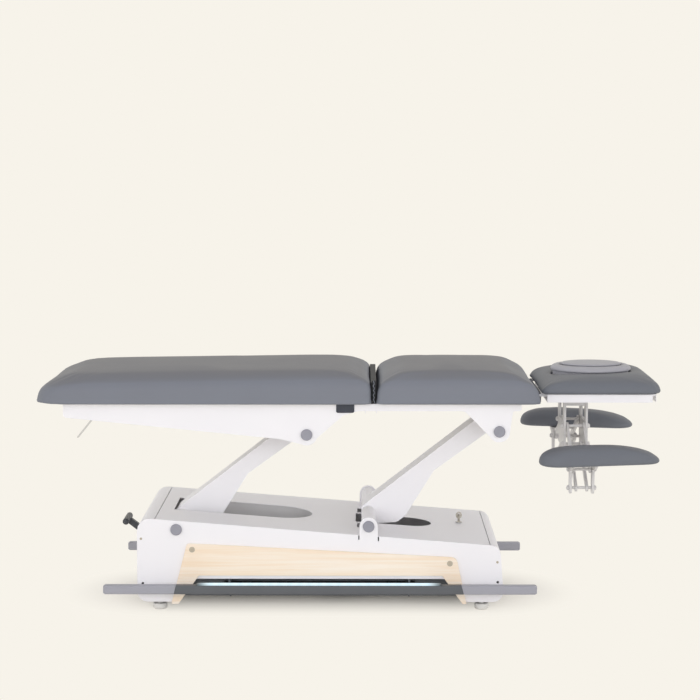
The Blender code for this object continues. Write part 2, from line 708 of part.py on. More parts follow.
def build_base_frame(base):
    """The welded frame that ties the side panels and carries what is inside."""
    window = BASE_HALF - BULKHEAD_SIDE
    strap = FRAME_BOTTOM + BULKHEAD_STRAP
    toe = FRAME_BOTTOM + BULKHEAD_CORNER
    outline = [
        (-INNER_HALF, toe), (BULKHEAD_CORNER - INNER_HALF, FRAME_BOTTOM),
        (INNER_HALF - BULKHEAD_CORNER, FRAME_BOTTOM), (INNER_HALF, toe), (INNER_HALF, BULKHEAD_HEIGHT),
        (window, BULKHEAD_HEIGHT), (window, strap), (-window, strap),
        (-window, BULKHEAD_HEIGHT), (-INNER_HALF, BULKHEAD_HEIGHT),
    ]
    half = FRAME_PLATE / 2
    left, right = BULKHEADS
    frame = add("base_frame", prism(outline, "X", left - half, left + half), base, "grey_steel")
    join(frame, prism(outline, "X", right - half, right + half))
    level = (FRAME_BOTTOM, FRAME_DECK)
    first = BASE_LEFT + BASE_FOOT_CORNER + SHEET
    last = BASE_RIGHT + BASE_RIGHT_FLARE - BASE_FOOT_CORNER - SHEET
    ends = ((first, first + END_PLATE_LENGTH), (last - END_PLATE_LENGTH, last))
    skirt_x = (CASTOR_LEFT.x + 2 * CASTOR_SHAFT_RADIUS, CASTOR_RIGHT.x - 2 * CASTOR_SHAFT_RADIUS)
    skirt_z = (FRAME_BOTTOM + SHEET, FRAME_DECK + SKIRT_HEIGHT)
    skirt_y = STRAP_Y + STRAP_WIDTH / 2 - SHEET
    for sign in (-1, 1):
        rail = sorted((sign * (STRAP_Y - STRAP_WIDTH / 2), sign * (STRAP_Y + STRAP_WIDTH / 2)))
        join(frame, block((ends[0][0], ends[1][1]), rail, level))
        for end in ends:
            join(frame, block(end, sorted((sign * (INNER_HALF - END_PLATE_WIDTH), sign * INNER_HALF)), level))
        join(frame, block(skirt_x, sorted((sign * skirt_y, sign * (skirt_y - SKIRT_THICKNESS))), skirt_z))
        for x in BULKHEADS:
            span = (x - 2 * FRAME_PLATE, x + 2 * FRAME_PLATE)
            centre = (sign * BAR_PIVOT_Y, BAR_Z)
            cut(frame, rod("X", centre, bore(BAR_PIVOT_RADIUS, SMALL_SIDES), *span, SMALL_SIDES))
    middle = LOWER_RIGHT.x - CONTROL_LENGTH / 2
    tray = (middle - TRAY_WIDTH / 2, middle + TRAY_WIDTH / 2)
    join(frame, block(tray, (-STRAP_Y, STRAP_Y), level))
    post = (left - half, left + half)
    join(frame, block(post, (-0.03, 0.03), (strap - 0.005, ACTUATOR_Z + ACTUATOR_TUBE_RADIUS)))
    case_x = (LOWER_RIGHT.x - CONTROL_LENGTH, LOWER_RIGHT.x)
    case_z = (FRAME_DECK + GAP, FRAME_DECK + GAP + CONTROL_HEIGHT)
    add("control_box", block(case_x, (-CONTROL_WIDTH / 2, CONTROL_WIDTH / 2), case_z), base, "black_plastic")


def build_lock(base):
    """Key lock on the housing's top, with its barrel through the cover and a key that turns."""
    x = LOWER_RIGHT.x + KEY_X
    top = top_z(x - LOCK_RADIUS) + GAP
    barrel = LOCK_RADIUS - LOCK_FLANGE
    face = top + LOCK_FLANGE
    profile = [(barrel, top - LOCK_DEPTH), (barrel, top), (LOCK_RADIUS, top), (LOCK_RADIUS, face)]
    lock = add("key_lock", turned(profile, "Z", (x, KEY_Y)), base, "bright_steel")
    cut(lock, rod("Z", (x, KEY_Y), bore(PLUG_RADIUS), top - LOCK_DEPTH / 2, top + 2 * LOCK_FLANGE))
    turn = pivot("key_axis", (x, KEY_Y, top), base)
    stem = rod("Z", (x, KEY_Y), PLUG_RADIUS, top - LOCK_DEPTH / 2 + GAP, face)
    key = add("key", stem, turn, "bright_steel")
    half = KEY_BOW_WIDTH / 2
    bow = rounded([
        (x - half, face + 0.008, 0.006), (x + half, face + 0.008, 0.006),
        (x + half, face + 0.008 + KEY_BOW_HEIGHT, 0.008), (x - half, face + 0.008 + KEY_BOW_HEIGHT, 0.008),
    ])
    thin = KEY_BOW_THICKNESS / 2
    join(key, prism(bow, "Y", KEY_Y - thin, KEY_Y + thin))
    join(key, block((x - 0.004, x + 0.004), (KEY_Y - thin, KEY_Y + thin), (face - 0.002, face + 0.012)))


def arm_outline(foot):
    """Side shape of a lift arm from its foot pivot: slim above the knee, with a deep heel below."""
    shape = [
        (-ARM_TOE, 0.0, ARM_CORNER),
        (-ARM_TOE / 4, ARM_BACK_FOOT, ARM_CORNER),
        (ARM_LENGTH, ARM_BACK_HEAD, ARM_CORNER),
        (ARM_LENGTH + ARM_TOE, 0.0, ARM_CORNER),
        (ARM_LENGTH, -2 * ARM_BELLY, ARM_CORNER / 2),
        (ARM_LENGTH - ARM_TOE, -ARM_BELLY),
        (ARM_LENGTH / 2, -ARM_BELLY),
        (1.6 * ARM_HEEL_LENGTH, -0.98 * ARM_HEEL_DEPTH),
        (ARM_HEEL_LENGTH, -ARM_HEEL_DEPTH, ARM_CORNER),
        (-0.65 * ARM_TOE, -0.4 * ARM_HEEL_DEPTH, ARM_CORNER),
    ]
    placed = []
    for along, across, *radius in shape:
        point = foot + along * ARM_ALONG + across * ARM_ACROSS
        placed.append((*point, *radius))
    return rounded(placed)


def build_arm(name, foot, head, carrier):
    """A folded channel with a torsion tube welded through each end."""
    half = ARM_WIDTH / 2
    outline = arm_outline(foot)
    arm = add(name, prism(outline, "Y", -half, half), carrier, "white_steel")
    shift = ARM_WALL * ARM_ACROSS - 0.0003 * ARM_ALONG
    inner = [(x - shift.x, z - shift.y) for x, z in outline]
    cut(arm, prism(inner, "Y", ARM_WALL - half, half - ARM_WALL))
    foot_reach = BASE_HALF - PANEL - THRUST
    head_reach = PLATE_INNER - THRUST
    for centre, reach in ((foot, foot_reach), (head, head_reach)):
        join(arm, rod("Y", centre, TUBE_RADIUS, -reach, reach))
    for centre, reach in ((foot, foot_reach), (head, head_reach)):
        cut(arm, rod("Y", centre, bore(SHAFT_RADIUS), -2 * reach, 2 * reach))
    return arm


def build_lift(base, left_arm, right_arm, rod_carrier):
    """Both lift arms, their foot shafts and the actuator that turns the right arm."""
    capped_shaft("lower_shaft_left", LOWER_LEFT, BASE_HALF, base)
    capped_shaft("lower_shaft_right", LOWER_RIGHT, BASE_HALF, base)
    build_arm("lift_arm_left", LOWER_LEFT, UPPER_LEFT, left_arm)
    arm = build_arm("lift_arm_right", LOWER_RIGHT, UPPER_RIGHT, right_arm)
    reach = (CRANK_REACH - CRANK_SLOT_PLAY, CRANK_REACH + CRANK_SLOT_TRAVEL + CRANK_SLOT_PLAY)
    slot_radius = CRANK_PIN_RADIUS + CRANK_SLOT_PLAY
    tip = LOWER_RIGHT - Vector((0, reach[1]))
    lug = stadium(tip, LOWER_RIGHT - Vector((0, TUBE_RADIUS / 2)), slot_radius + CRANK_EDGE)
    slot = stadium(tip, LOWER_RIGHT - Vector((0, reach[0])), slot_radius)
    for sign in (-1, 1):
        faces = sorted((sign * CRANK_INNER_Y, sign * (CRANK_INNER_Y + CRANK_PLATE)))
        join(arm, prism(lug, "Y", *faces))
    cut(arm, prism(slot, "Y", -ARM_WIDTH, ARM_WIDTH))
    cut(arm, rod("Y", LOWER_RIGHT, bore(SHAFT_RADIUS), -BASE_WIDTH, BASE_WIDTH))
    build_actuator(base, rod_carrier)


def build_actuator(base, rod_carrier):
    """A spindle drive: motor and outer tube held at the bulkhead's post, and a rod that pushes the
    crank."""
    line = (0, ACTUATOR_Z)
    back = BULKHEADS[0] + FRAME_PLATE / 2 + GAP
    mouth = back + ACTUATOR_TUBE_LENGTH
    body = add("actuator_body", rod("X", line, ACTUATOR_TUBE_RADIUS, back, mouth), base, "black_plastic")
    motor_x = (back + 0.010, back + 0.010 + MOTOR_LENGTH)
    motor_z = (ACTUATOR_Z - MOTOR_HEIGHT, ACTUATOR_Z)
    join(body, block(motor_x, (-MOTOR_WIDTH / 2, MOTOR_WIDTH / 2), motor_z))
    hollow = ACTUATOR_ROD_RADIUS + GAP
    cut(body, rod("X", line, hollow, back + 0.04, mouth + 0.05))
    eye = LOWER_RIGHT.x
    shaft = rod("X", line, ACTUATOR_ROD_RADIUS, mouth - ACTUATOR_REST_STROKE, eye)
    spindle = add("actuator_rod", shaft, rod_carrier, "bright_steel")
    tongue = CRANK_INNER_Y - 0.001
    eye_x = (eye - CRANK_EYE, eye + CRANK_EYE)
    join(spindle, block(eye_x, (-tongue, tongue), (ACTUATOR_Z - CRANK_EYE, ACTUATOR_Z + CRANK_EYE)))
    pin_reach = CRANK_INNER_Y + 1.4 * CRANK_PLATE
    join(spindle, rod("Y", (eye, ACTUATOR_Z), CRANK_PIN_RADIUS, -pin_reach, pin_reach))


def side_plate_outline():
    """Side plate of the upper frame: deep at the left pivot, a slim rail, and a bracket at the right
    pivot."""
    left = LONG_X0 + PLATE_LEG_INSET
    right = MID_X1 - PLATE_HEAD_INSET
    rail = FRAME_TOP - RAIL_HEIGHT
    lobe = LOBE_RADIUS
    return rounded([
        (left, FRAME_TOP),
        (left, FRAME_TOP - PLATE_END_HEIGHT, lobe / 3),
        (UPPER_LEFT.x - 2.4 * lobe, UPPER_LEFT.y - 0.41 * lobe),
        *arc(UPPER_LEFT, lobe, 245, 340, 8),
        (UPPER_LEFT.x + 3.4 * lobe, rail - 0.014, 0.030),
        (UPPER_LEFT.x + 4.8 * lobe, rail, 0.030),
        (UPPER_RIGHT.x - 3.2 * lobe, rail, 0.030),
        *arc(UPPER_RIGHT, lobe, 210, 340, 9),
        (UPPER_RIGHT.x + 1.25 * lobe, rail, 0.006),
        (right, rail, 0.008),
        (right, FRAME_TOP),
    ])


def channel(x, low):
    """Side shape of a cross beam, a channel open below."""
    w = BEAM_WALL
    end = x + BEAM_WIDTH
    top = low + BEAM_HEIGHT
    outer = [(x, low), (x, top), (end, top), (end, low)]
    return outer + [(end - w, low), (end - w, top - w), (x + w, top - w), (x + w, low)]


def build_upper_frame(carrier, lever_carrier):
    """Side plates, their shafts and the beams between them."""
    outline = side_plate_outline()
    for side, sign in (("near", -1), ("far", 1)):
        faces = sorted((sign * PLATE_INNER, sign * PLATE_OUTER))
        plate = add(f"side_plate_{side}", prism(outline, "Y", *faces), carrier, "white_steel")
        for centre in (UPPER_LEFT, UPPER_RIGHT):
            cut(plate, shaft_hole(centre, faces[0] - PLATE, faces[1] + PLATE))
    capped_shaft("upper_shaft_left", UPPER_LEFT, PLATE_OUTER, carrier)
    capped_shaft("upper_shaft_right", UPPER_RIGHT, PLATE_OUTER, carrier)
    reach = PLATE_INNER - GAP
    beam_low = FRAME_TOP - 0.005 - BEAM_HEIGHT
    section = channel(LEVER_PIVOT.x - BEAM_WIDTH / 2, beam_low)
    leg_beam = add("cross_beam_leg", prism(section, "Y", -reach, reach), carrier, "white_steel")
    build_release_lever(leg_beam, beam_low, lever_carrier)
    spring_beam_x = SPRING_ANCHOR.x + 0.012
    section = channel(spring_beam_x, beam_low)
    beam = add("cross_beam_spring", prism(section, "Y", -reach, reach), carrier, "white_steel")
    eye = stadium(SPRING_ANCHOR, (spring_beam_x + 0.006, SPRING_ANCHOR.y), 0.008)
    fork = SPRING_RADIUS + 0.001
    for sign in (-1, 1):
        faces = sorted((SPRING_Y + sign * fork, SPRING_Y + sign * (fork + 0.004)))
        join(beam, prism(eye, "Y", *faces))
    pin = fork + 0.006
    join(beam, rod("Y", SPRING_ANCHOR, SPRING_PIN_RADIUS, SPRING_Y - pin, SPRING_Y + pin, SMALL_SIDES))


def build_release_lever(beam, beam_low, carrier):
    """A hand lever under the leg end, on a pin between two ears of the beam."""
    ear_y = LEVER_WIDTH / 2 + THRUST
    ear = stadium(LEVER_PIVOT, (LEVER_PIVOT.x, beam_low + BEAM_HEIGHT - 0.010), 0.009)
    for sign in (-1, 1):
        faces = sorted((sign * ear_y, sign * (ear_y + 0.004)))
        join(beam, prism(ear, "Y", *faces))
    join(beam, rod("Y", LEVER_PIVOT, LEVER_PIN_RADIUS, -ear_y - 0.005, ear_y + 0.005, SMALL_SIDES))
    half = LEVER_WIDTH / 2
    tip = LEVER_PIVOT + heading(LEVER_LENGTH, LEVER_ANGLE)
    strip = stadium(LEVER_PIVOT, tip, LEVER_THICKNESS / 2)
    lever = add("release_lever", prism(strip, "Y", -half, half), carrier, "bright_steel")
    join(lever, rod("Y", LEVER_PIVOT, LEVER_EYE_RADIUS, -half, half, SMALL_SIDES))
    hole = bore(LEVER_PIN_RADIUS, SMALL_SIDES)
    cut(lever, rod("Y", LEVER_PIVOT, hole, -LEVER_WIDTH, LEVER_WIDTH, SMALL_SIDES))


def edge_ring(x0, x1, half, corners, z, bow=0.0):
    """One closed ring of a padded shape: a rectangle whose sides bow inwards, with a corner radius for
    its x0 end and one for its x1 end."""
    first, last = (min(corner, half - 0.002, (x1 - x0) / 2 - 0.002) for corner in corners)
    centres = [(x1 - last, half - last, last, 0), (x0 + first, half - first, first, 90)]
    centres += [(x0 + first, first - half, first, 180), (x1 - last, last - half, last, 270)]
    steps = (4, 2, 4, 2)
    ring = []
    for i, (cx, cy, radius, start) in enumerate(centres):
        ring += arc((cx, cy), radius, start, start + 90)
        here = Vector(ring[-1])
        next_x, next_y, next_radius, turn = centres[(i + 1) % 4]
        there = Vector(arc((next_x, next_y), next_radius, turn, turn + 90, 1)[0])
        inward = Vector((-math.cos(math.radians(turn)), -math.sin(math.radians(turn))))
        for k in range(1, steps[i]):
            share = k / steps[i]
            ring.append(tuple(here.lerp(there, share) + inward * bow * math.sin(math.pi * share)))
    return [(x, y, z) for x, y in ring]


def padded(x0, x1, half, corners, low, thickness, crown, ends, sides, taper=0.0, pocket=None):
    """A cushion with drawn-in sides, rounded edges and a crowned top. Each end and the sides have their
    own rounding; the x0 end is lower by the taper; a pocket of (rim, depth) takes the board."""
    edge = thickness - crown
    soft = SEAM_ROUNDING
    flat = pocket[1] if pocket else 0.0

    def inset(height, start, reach, power):
        share = min(max((height - start) / (edge - start), 0.0), 1.0)
        return reach * (1 - (1 - share**power) ** (1 / power))

    def drawn_in(step):
        return [corner - step for corner in corners]

    def lowered(ring):
        slope = taper / (x1 - x0) / (thickness - flat)
        return [(x, y, z - slope * (x1 - x) * max(z - low - flat, 0)) for x, y, z in ring]

    rings = []
    if pocket:
        rim, depth = pocket
        for z in (low + depth, low):
            rings.append(edge_ring(x0 + rim, x1 - rim, half - rim, drawn_in(rim), z))
    for turn in (0.0, math.pi / 4):
        step = soft * (1 - math.sin(turn))
        rise = low + soft * (1 - math.cos(turn))
        rings.append(edge_ring(x0 + step, x1 - step, half - step, drawn_in(step), rise))
    upright = max(sides[0], soft)
    heights = [soft, (soft + upright) / 2] if upright > soft else []
    turns = [math.radians(turn) for turn in (0, 24, 42, 58, 72, 82, 90)]
    heights += [upright + (edge - upright) * math.sin(turn) for turn in turns]
    for height in heights:
        first, last, side = [inset(height, *rounding) for rounding in (*ends, sides)]
        bow = DRAWN_IN * math.sin(math.pi * height / thickness)
        ring = edge_ring(x0 + first, x1 - last, half - side, corners, low + height, bow)
        rings.append(lowered(ring))
    span0, span1, span_y = x0 + ends[0][1], x1 - ends[1][1], half - sides[1]
    middle = (span0 + span1) / 2
    for share in (0.55, 0.15):
        box = (middle + (span0 - middle) * share, middle + (span1 - middle) * share, span_y * share)
        small = [corner * share for corner in corners]
        rings.append(lowered(edge_ring(*box, small, low + thickness - crown * share**2)))
    return loft(rings)


def board(x0, x1, corners):
    """The plywood deck that sits in a cushion's pocket."""
    inset = RIM + GAP
    left, right, side = x0 + inset, x1 - inset, SECTION_HALF - inset
    first, last = (corner - inset for corner in corners)
    outline = [(left, -side, first), (right, -side, last), (right, side, last), (left, side, first)]
    return prism(rounded(outline), "Z", DECK_Z, DECK_Z + BOARD - GAP)


def hinge_bar(name, x, z, radius, pin_radius, reach, foot_x, carrier):
    """A knuckle bar in the gap between two sections, on a web and a foot under the seat's board."""
    bar = add(name, rod("Y", (x, z), radius, -reach, reach, SMALL_SIDES), carrier, "grey_steel")
    half = HINGE_WEB / 2
    top = FRAME_TOP
    join(bar, block((x - half, x + half), (-reach, reach), (top - HINGE_WEB, z)))
    join(bar, block(foot_x, (-reach, reach), (top - HINGE_WEB, top)))
    for sign in (-1, 1):
        hole = sorted((sign * (reach - HINGE_PIN_LENGTH - 0.001), sign * (reach + 0.01)))
        cut(bar, rod("Y", (x, z), bore(pin_radius, SMALL_SIDES), *hole, SMALL_SIDES))
    return bar


def build_mid(carrier):
    """The fixed seat section and the two hinge bars that it carries."""
    corners = (GAP_CORNER, GAP_CORNER)
    add("mid_board", board(MID_X0, MID_X1, corners), carrier, "plywood")
    ends = (MID_GAP_ROUNDING, MID_HEAD_ROUNDING)
    shape = padded(
        MID_X0, MID_X1, SECTION_HALF, corners, DECK_Z, MID_THICKNESS, CROWN, ends, SECTION_ROUNDING,
        pocket=(RIM, BOARD),
    )
    add("mid_cushion", shape, carrier, "grey_vinyl")
    half = HINGE_WEB / 2
    clear = EAR / 2 + THRUST
    foot = (LONG_AXIS_X - half, LONG_AXIS_X + HINGE_FOOT)
    place = (LONG_AXIS_X, LONG_AXIS_Z, LONG_BAR_RADIUS, LONG_PIN_RADIUS)
    hinge_bar("section_hinge", *place, EAR_Y - clear, foot, carrier)
    foot = (HEAD_AXIS_X - HINGE_FOOT, HEAD_AXIS_X + half)
    place = (HEAD_AXIS_X, HEAD_AXIS_Z, HEAD_BAR_RADIUS, HEAD_PIN_RADIUS)
    hinge_bar("head_hinge", *place, HEAD_EAR_Y - clear, foot, carrier)


def build_long(carrier, cylinder_carrier, rod_carrier):
    """The leg section, its hinge ears and its gas spring."""
    corners = (LEG_CORNER, GAP_CORNER)
    deck = add("long_board", board(LONG_X0, LONG_X1, corners), carrier, "plywood")
    top = FRAME_TOP
    for sign in (-1, 1):
        faces = sorted((sign * (EAR_Y - EAR / 2), sign * (EAR_Y + EAR / 2)))
        strap = block((LONG_X1 - RIM - 0.060, LONG_AXIS_X + LONG_BAR_RADIUS), faces, (top - 0.004, top))
        upright = rounded([
            (LONG_AXIS_X - LONG_BAR_RADIUS, top - 0.004), (LONG_AXIS_X + LONG_BAR_RADIUS, top - 0.004),
            *arc((LONG_AXIS_X, LONG_AXIS_Z), LONG_BAR_RADIUS, 0, 180, 8),
        ])
        pin = sorted((sign * EAR_Y, sign * (EAR_Y - EAR / 2 - HINGE_PIN_LENGTH)))
        seat = block((LONG_X1 - RIM - 0.058, LONG_X1 - RIM - 0.016), faces, (top - 0.004, DECK_Z + 0.004))
        join(deck, seat, strap, prism(upright, "Y", *faces))
        join(deck, rod("Y", (LONG_AXIS_X, LONG_AXIS_Z), LONG_PIN_RADIUS, *pin, SMALL_SIDES))
    ends = (LEG_END_ROUNDING, LONG_GAP_ROUNDING)
    shape = padded(
        LONG_X0, LONG_X1, SECTION_HALF, corners, DECK_Z, LONG_THICKNESS, CROWN, ends, SECTION_ROUNDING,
        LONG_TAPER, (RIM, BOARD),
    )
    add("long_cushion", shape, carrier, "grey_vinyl")
    build_gas_spring(deck, cylinder_carrier, rod_carrier)


def build_gas_spring(deck, cylinder_carrier, rod_carrier):
    """A gas spring along the underside: the cylinder turns on the beam's pin, and the rod's cross pin
    has play in the section's lug, because this pivot closes a loop."""
    hole = SPRING_PIN_RADIUS + SPRING_TRAVEL_PLAY
    eye_radius = hole + 0.004
    fork = SPRING_RADIUS
    lug = stadium(SPRING_LUG, (SPRING_LUG.x, DECK_Z + 0.002), eye_radius)
    lug = [(x, min(z, DECK_Z + 0.004)) for x, z in lug]
    for sign in (-1, 1):
        faces = sorted((SPRING_Y + sign * fork, SPRING_Y + sign * (fork + 0.004)))
        join(deck, prism(lug, "Y", *faces))
    cut(deck, rod("Y", SPRING_LUG, hole, SPRING_Y - 0.03, SPRING_Y + 0.03, SMALL_SIDES))

    run = SPRING_LUG - SPRING_ANCHOR
    place = Matrix.Translation((SPRING_ANCHOR.x, SPRING_Y, SPRING_ANCHOR.y))
    tilt = place @ Matrix.Rotation(-math.atan2(run.y, run.x), 4, "Y")
    mouth = SPRING_CYLINDER_LENGTH
    profile = [(0.006, 0.0), (0.006, 0.012), (SPRING_RADIUS - 0.001, 0.014), (SPRING_RADIUS - 0.001, mouth)]
    shell = turned(profile, "X", (0, 0), SMALL_SIDES)
    bmesh.ops.transform(shell, matrix=tilt, verts=shell.verts)
    cylinder = add("gas_spring_cylinder", shell, cylinder_carrier, "black_plastic")
    eye_half = SPRING_RADIUS - 0.001
    join(cylinder, rod("Y", SPRING_ANCHOR, 0.009, SPRING_Y - eye_half, SPRING_Y + eye_half, SMALL_SIDES))
    hole = bore(SPRING_PIN_RADIUS, SMALL_SIDES)
    cut(cylinder, rod("Y", SPRING_ANCHOR, hole, SPRING_Y - 0.02, SPRING_Y + 0.02, SMALL_SIDES))
    hollow = rod("X", (0, 0), SPRING_ROD_RADIUS + GAP, 0.03, mouth + 0.02, SMALL_SIDES)
    bmesh.ops.transform(hollow, matrix=tilt, verts=hollow.verts)
    cut(cylinder, hollow)
    shaft = rod("X", (0, 0), SPRING_ROD_RADIUS, mouth - 0.110, run.length, SMALL_SIDES)
    bmesh.ops.transform(shaft, matrix=tilt, verts=shaft.verts)
    piston = add("gas_spring_rod", shaft, rod_carrier, "bright_steel")
    reach = fork + 0.006
    join(piston, rod("Y", SPRING_LUG, SPRING_PIN_RADIUS, SPRING_Y - reach, SPRING_Y + reach, SMALL_SIDES))
    join(piston, rod("Y", SPRING_LUG, 0.007, SPRING_Y - fork + 0.002, SPRING_Y + fork - 0.002, SMALL_SIDES))


def ellipse(length, width, z, grow=0.0, points=30):
    """An oval ring of points round the face opening, grown outwards on all sides."""
    turns = [math.tau * i / points for i in range(points)]
    a, b = length / 2 + grow, width / 2 + grow
    return [(FACE_X + a * math.cos(t), b * math.sin(t), z) for t in turns]


def oval_loft(rings):
    """A closed skin over oval rings whose last ring joins the first, with a hole through the middle."""
    solid = bmesh.new()
    loops = [[solid.verts.new(p) for p in points] for points in rings]
    for i, upper in enumerate(loops):
        lower = loops[i - 1]
        for k in range(len(lower)):
            solid.faces.new((lower[k - 1], lower[k], upper[k], upper[k - 1]))
    return solid


def build_head(carrier, plug_carrier):
    """Head section: folded tray, cushion, the padded collar round the face opening and its plug."""
    x0 = HEAD_AXIS_X + HEAD_FRAME_SETBACK
    x1 = HEAD_X1 - HEAD_FRAME_END_INSET
    half = HEAD_HALF - HEAD_FRAME_INSET_Y
    wall = HEAD_FRAME_SHEET
    outline = rounded([(x0, -half), (x1, -half, 0.03), (x1, half, 0.03), (x0, half)])
    frame = add("head_frame", prism(outline, "Z", HEAD_FRAME_BOTTOM, HEAD_FRAME_TOP), carrier, "white_steel")
    inside = (HEAD_FRAME_BOTTOM - wall, HEAD_FRAME_TOP - wall)
    cut(frame, block((x0 + wall, x1 - wall), (wall - half, half - wall), inside))
    tube = (FACE_LENGTH, FACE_WIDTH)
    levels = (HEAD_FRAME_BOTTOM - HEAD_RISE, HEAD_FRAME_TOP + HEAD_RISE)
    cut(frame, loft([ellipse(*tube, z, GAP) for z in levels]))
    rib_top = HEAD_FRAME_TOP - wall / 2
    axis = (HEAD_AXIS_X, HEAD_AXIS_Z)
    for sign in (-1, 1):
        rib = sorted((sign * REST_RIB_Y, sign * (REST_RIB_Y + REST_RIB_WIDTH)))
        join(frame, block((REST_X0 + 0.005, REST_X1 - 0.005), rib, (HEAD_FRAME_BOTTOM, rib_top)))
        faces = sorted((sign * (HEAD_EAR_Y - EAR / 2), sign * (HEAD_EAR_Y + EAR / 2)))
        join(frame, prism(stadium(axis, (x0 + 0.03, HEAD_AXIS_Z), HEAD_BAR_RADIUS), "Y", *faces))
        pin = sorted((sign * HEAD_EAR_Y, sign * (HEAD_EAR_Y - EAR / 2 - HINGE_PIN_LENGTH)))
        join(frame, rod("Y", axis, HEAD_PIN_RADIUS, *pin, SMALL_SIDES))

    corners = (HEAD_SEAT_CORNER, HEAD_END_CORNER)
    shape = padded(
        HEAD_X0 - HEAD_OVERHANG, HEAD_X1, HEAD_HALF, corners, HEAD_DECK_Z, HEAD_THICKNESS, CROWN,
        (HEAD_SEAT_ROUNDING, HEAD_END_ROUNDING), HEAD_ROUNDING,
    )
    cushion = add("head_cushion", shape, carrier, "grey_vinyl")
    collar = (COLLAR_LENGTH, COLLAR_WIDTH)
    levels = (HEAD_DECK_Z - HEAD_THICKNESS, HEAD_DECK_Z + 2 * HEAD_THICKNESS)
    cut(cushion, loft([ellipse(*collar, z, GAP) for z in levels]))

    top = HEAD_DECK_Z + HEAD_THICKNESS + COLLAR_RISE
    seat = HEAD_DECK_Z + PLUG_SEAT
    low = HEAD_FRAME_BOTTOM + HEAD_FRAME_SHEET / 2
    soft = COLLAR_ROUNDING
    thick = COLLAR_THICKNESS
    add("face_ring", oval_loft([
        ellipse(*tube, low, -FACE_RING_WALL),
        ellipse(*tube, low),
        ellipse(*tube, HEAD_DECK_Z),
        ellipse(*collar, HEAD_DECK_Z),
        ellipse(*collar, top - 1.4 * soft),
        ellipse(*collar, top - 0.5 * soft, -0.3 * soft),
        ellipse(*collar, top, -1.2 * soft),
        ellipse(*collar, top - 0.1 * soft, soft - thick),
        ellipse(*collar, top - soft, -thick),
        ellipse(*collar, seat, -thick),
        ellipse(*tube, seat, -FACE_RING_WALL),
    ]), carrier, "pale_vinyl")

    stem = -FACE_RING_WALL - GAP
    head = -thick - GAP
    rim = top - soft
    plug = loft([
        ellipse(*tube, seat - PLUG_DEPTH, stem - PLUG_EDGE / 2),
        ellipse(*tube, seat - PLUG_DEPTH + PLUG_EDGE / 2, stem),
        ellipse(*tube, seat + GAP, stem),
        ellipse(*collar, seat + GAP, head),
        ellipse(*collar, rim - PLUG_EDGE / 2, head),
        ellipse(*collar, rim + PLUG_EDGE / 4, head - PLUG_EDGE / 2),
        ellipse(*collar, rim + 0.8 * PLUG_CROWN, head - COLLAR_WIDTH / 8),
        ellipse(*collar, rim + PLUG_CROWN, head - COLLAR_WIDTH / 4),
    ])
    add("face_plug", plug, plug_carrier, "pale_vinyl")


def rest_pins(side, step):
    """Inner and outer pivot of an armrest link, as (y, z), on side -1 or 1 and pivot row 0 or 1."""
    inner = Vector((side * REST_INNER_Y, REST_TOP_Z - step * REST_PIVOT_STEP))
    reach = heading(REST_LINK_LENGTH, -REST_ANGLE_NEAR if side < 0 else -REST_ANGLE_FAR)
    return inner, inner + Vector((side * reach.x, reach.y))


def pin_with_domes(centre, x0, x1):
    """A pivot pin along X with a small dome at each end."""
    r = REST_PIN_RADIUS
    sunk = REST_PLATE / 2
    dome = [(r * 0.9, 0.009), (r * 1.7, 0.005), (r * 1.7, -sunk), (r, -sunk)]
    profile = [(radius, x0 - out) for radius, out in dome]
    profile += [(radius, x1 + out) for radius, out in reversed(dome)]
    return turned(profile, "X", centre, SMALL_SIDES)


def build_rest_bracket(carrier):
    """The bracket under the head frame: two arched plates on feet, tied by webs, with four pivot pins."""
    half = REST_BRACKET_HALF_WIDTH
    low = REST_TOP_Z - REST_PIVOT_STEP - 1.2 * REST_LINK_RADIUS
    top = HEAD_FRAME_BOTTOM - GAP
    under = top - REST_PLATE / 2
    arch = REST_TOP_Z + REST_LINK_RADIUS
    leg = REST_ARCH_HALF
    soft = REST_LINK_RADIUS
    outline = rounded([
        (-half, low, soft), (half, low, soft), (half, under), (leg, under),
        (leg, arch, soft), (-leg, arch, soft), (-leg, under), (-half, under),
    ])
    plate = prism(outline, "X", REST_X0, REST_X0 + REST_PLATE)
    bracket = add("armrest_bracket", plate, carrier, "bright_steel")
    join(bracket, prism(outline, "X", REST_X1 - REST_PLATE, REST_X1))
    web_x = (REST_X0 + REST_PLATE / 2, REST_X1 - REST_PLATE / 2)
    web_z = (top - REST_PLATE - REST_WEB_HEIGHT, top - REST_PLATE / 4)
    for sign in (-1, 1):
        foot = sorted((sign * (leg - 0.002), sign * (half + 0.002)))
        join(bracket, block((REST_X0 - 0.002, REST_X1 + 0.002), foot, (top - REST_PLATE, top)))
        web = sorted((sign * (half - REST_PLATE / 2), sign * (half - REST_PLATE)))
        join(bracket, block(web_x, web, web_z))
        for step in (0, 1):
            join(bracket, pin_with_domes(rest_pins(sign, step)[0], REST_X0, REST_X1))


def build_rest_link(name, sign, step, carrier):
    """A pair of flat bars joined by tubes, turning on the bracket's pin."""
    inner, outer = rest_pins(sign, step)
    inset = REST_PLATE + 0.001 + step * (REST_PLATE + 0.002)
    x0, x1 = REST_X0 + inset, REST_X1 - inset
    outline = stadium(inner, outer, REST_LINK_RADIUS)
    link = add(name, prism(outline, "X", x0, x0 + REST_PLATE), carrier, "bright_steel")
    join(link, prism(outline, "X", x1 - REST_PLATE, x1))
    tie = inner.lerp(outer, 0.5)
    join(link, rod("X", tie, REST_TIE_RADIUS, x0 + 0.001, x1 - 0.001, SMALL_SIDES))
    hole = bore(REST_PIN_RADIUS, SMALL_SIDES)
    for centre in (inner, outer):
        cut(link, rod("X", centre, hole, x0 - REST_PLATE, x1 + REST_PLATE, SMALL_SIDES))


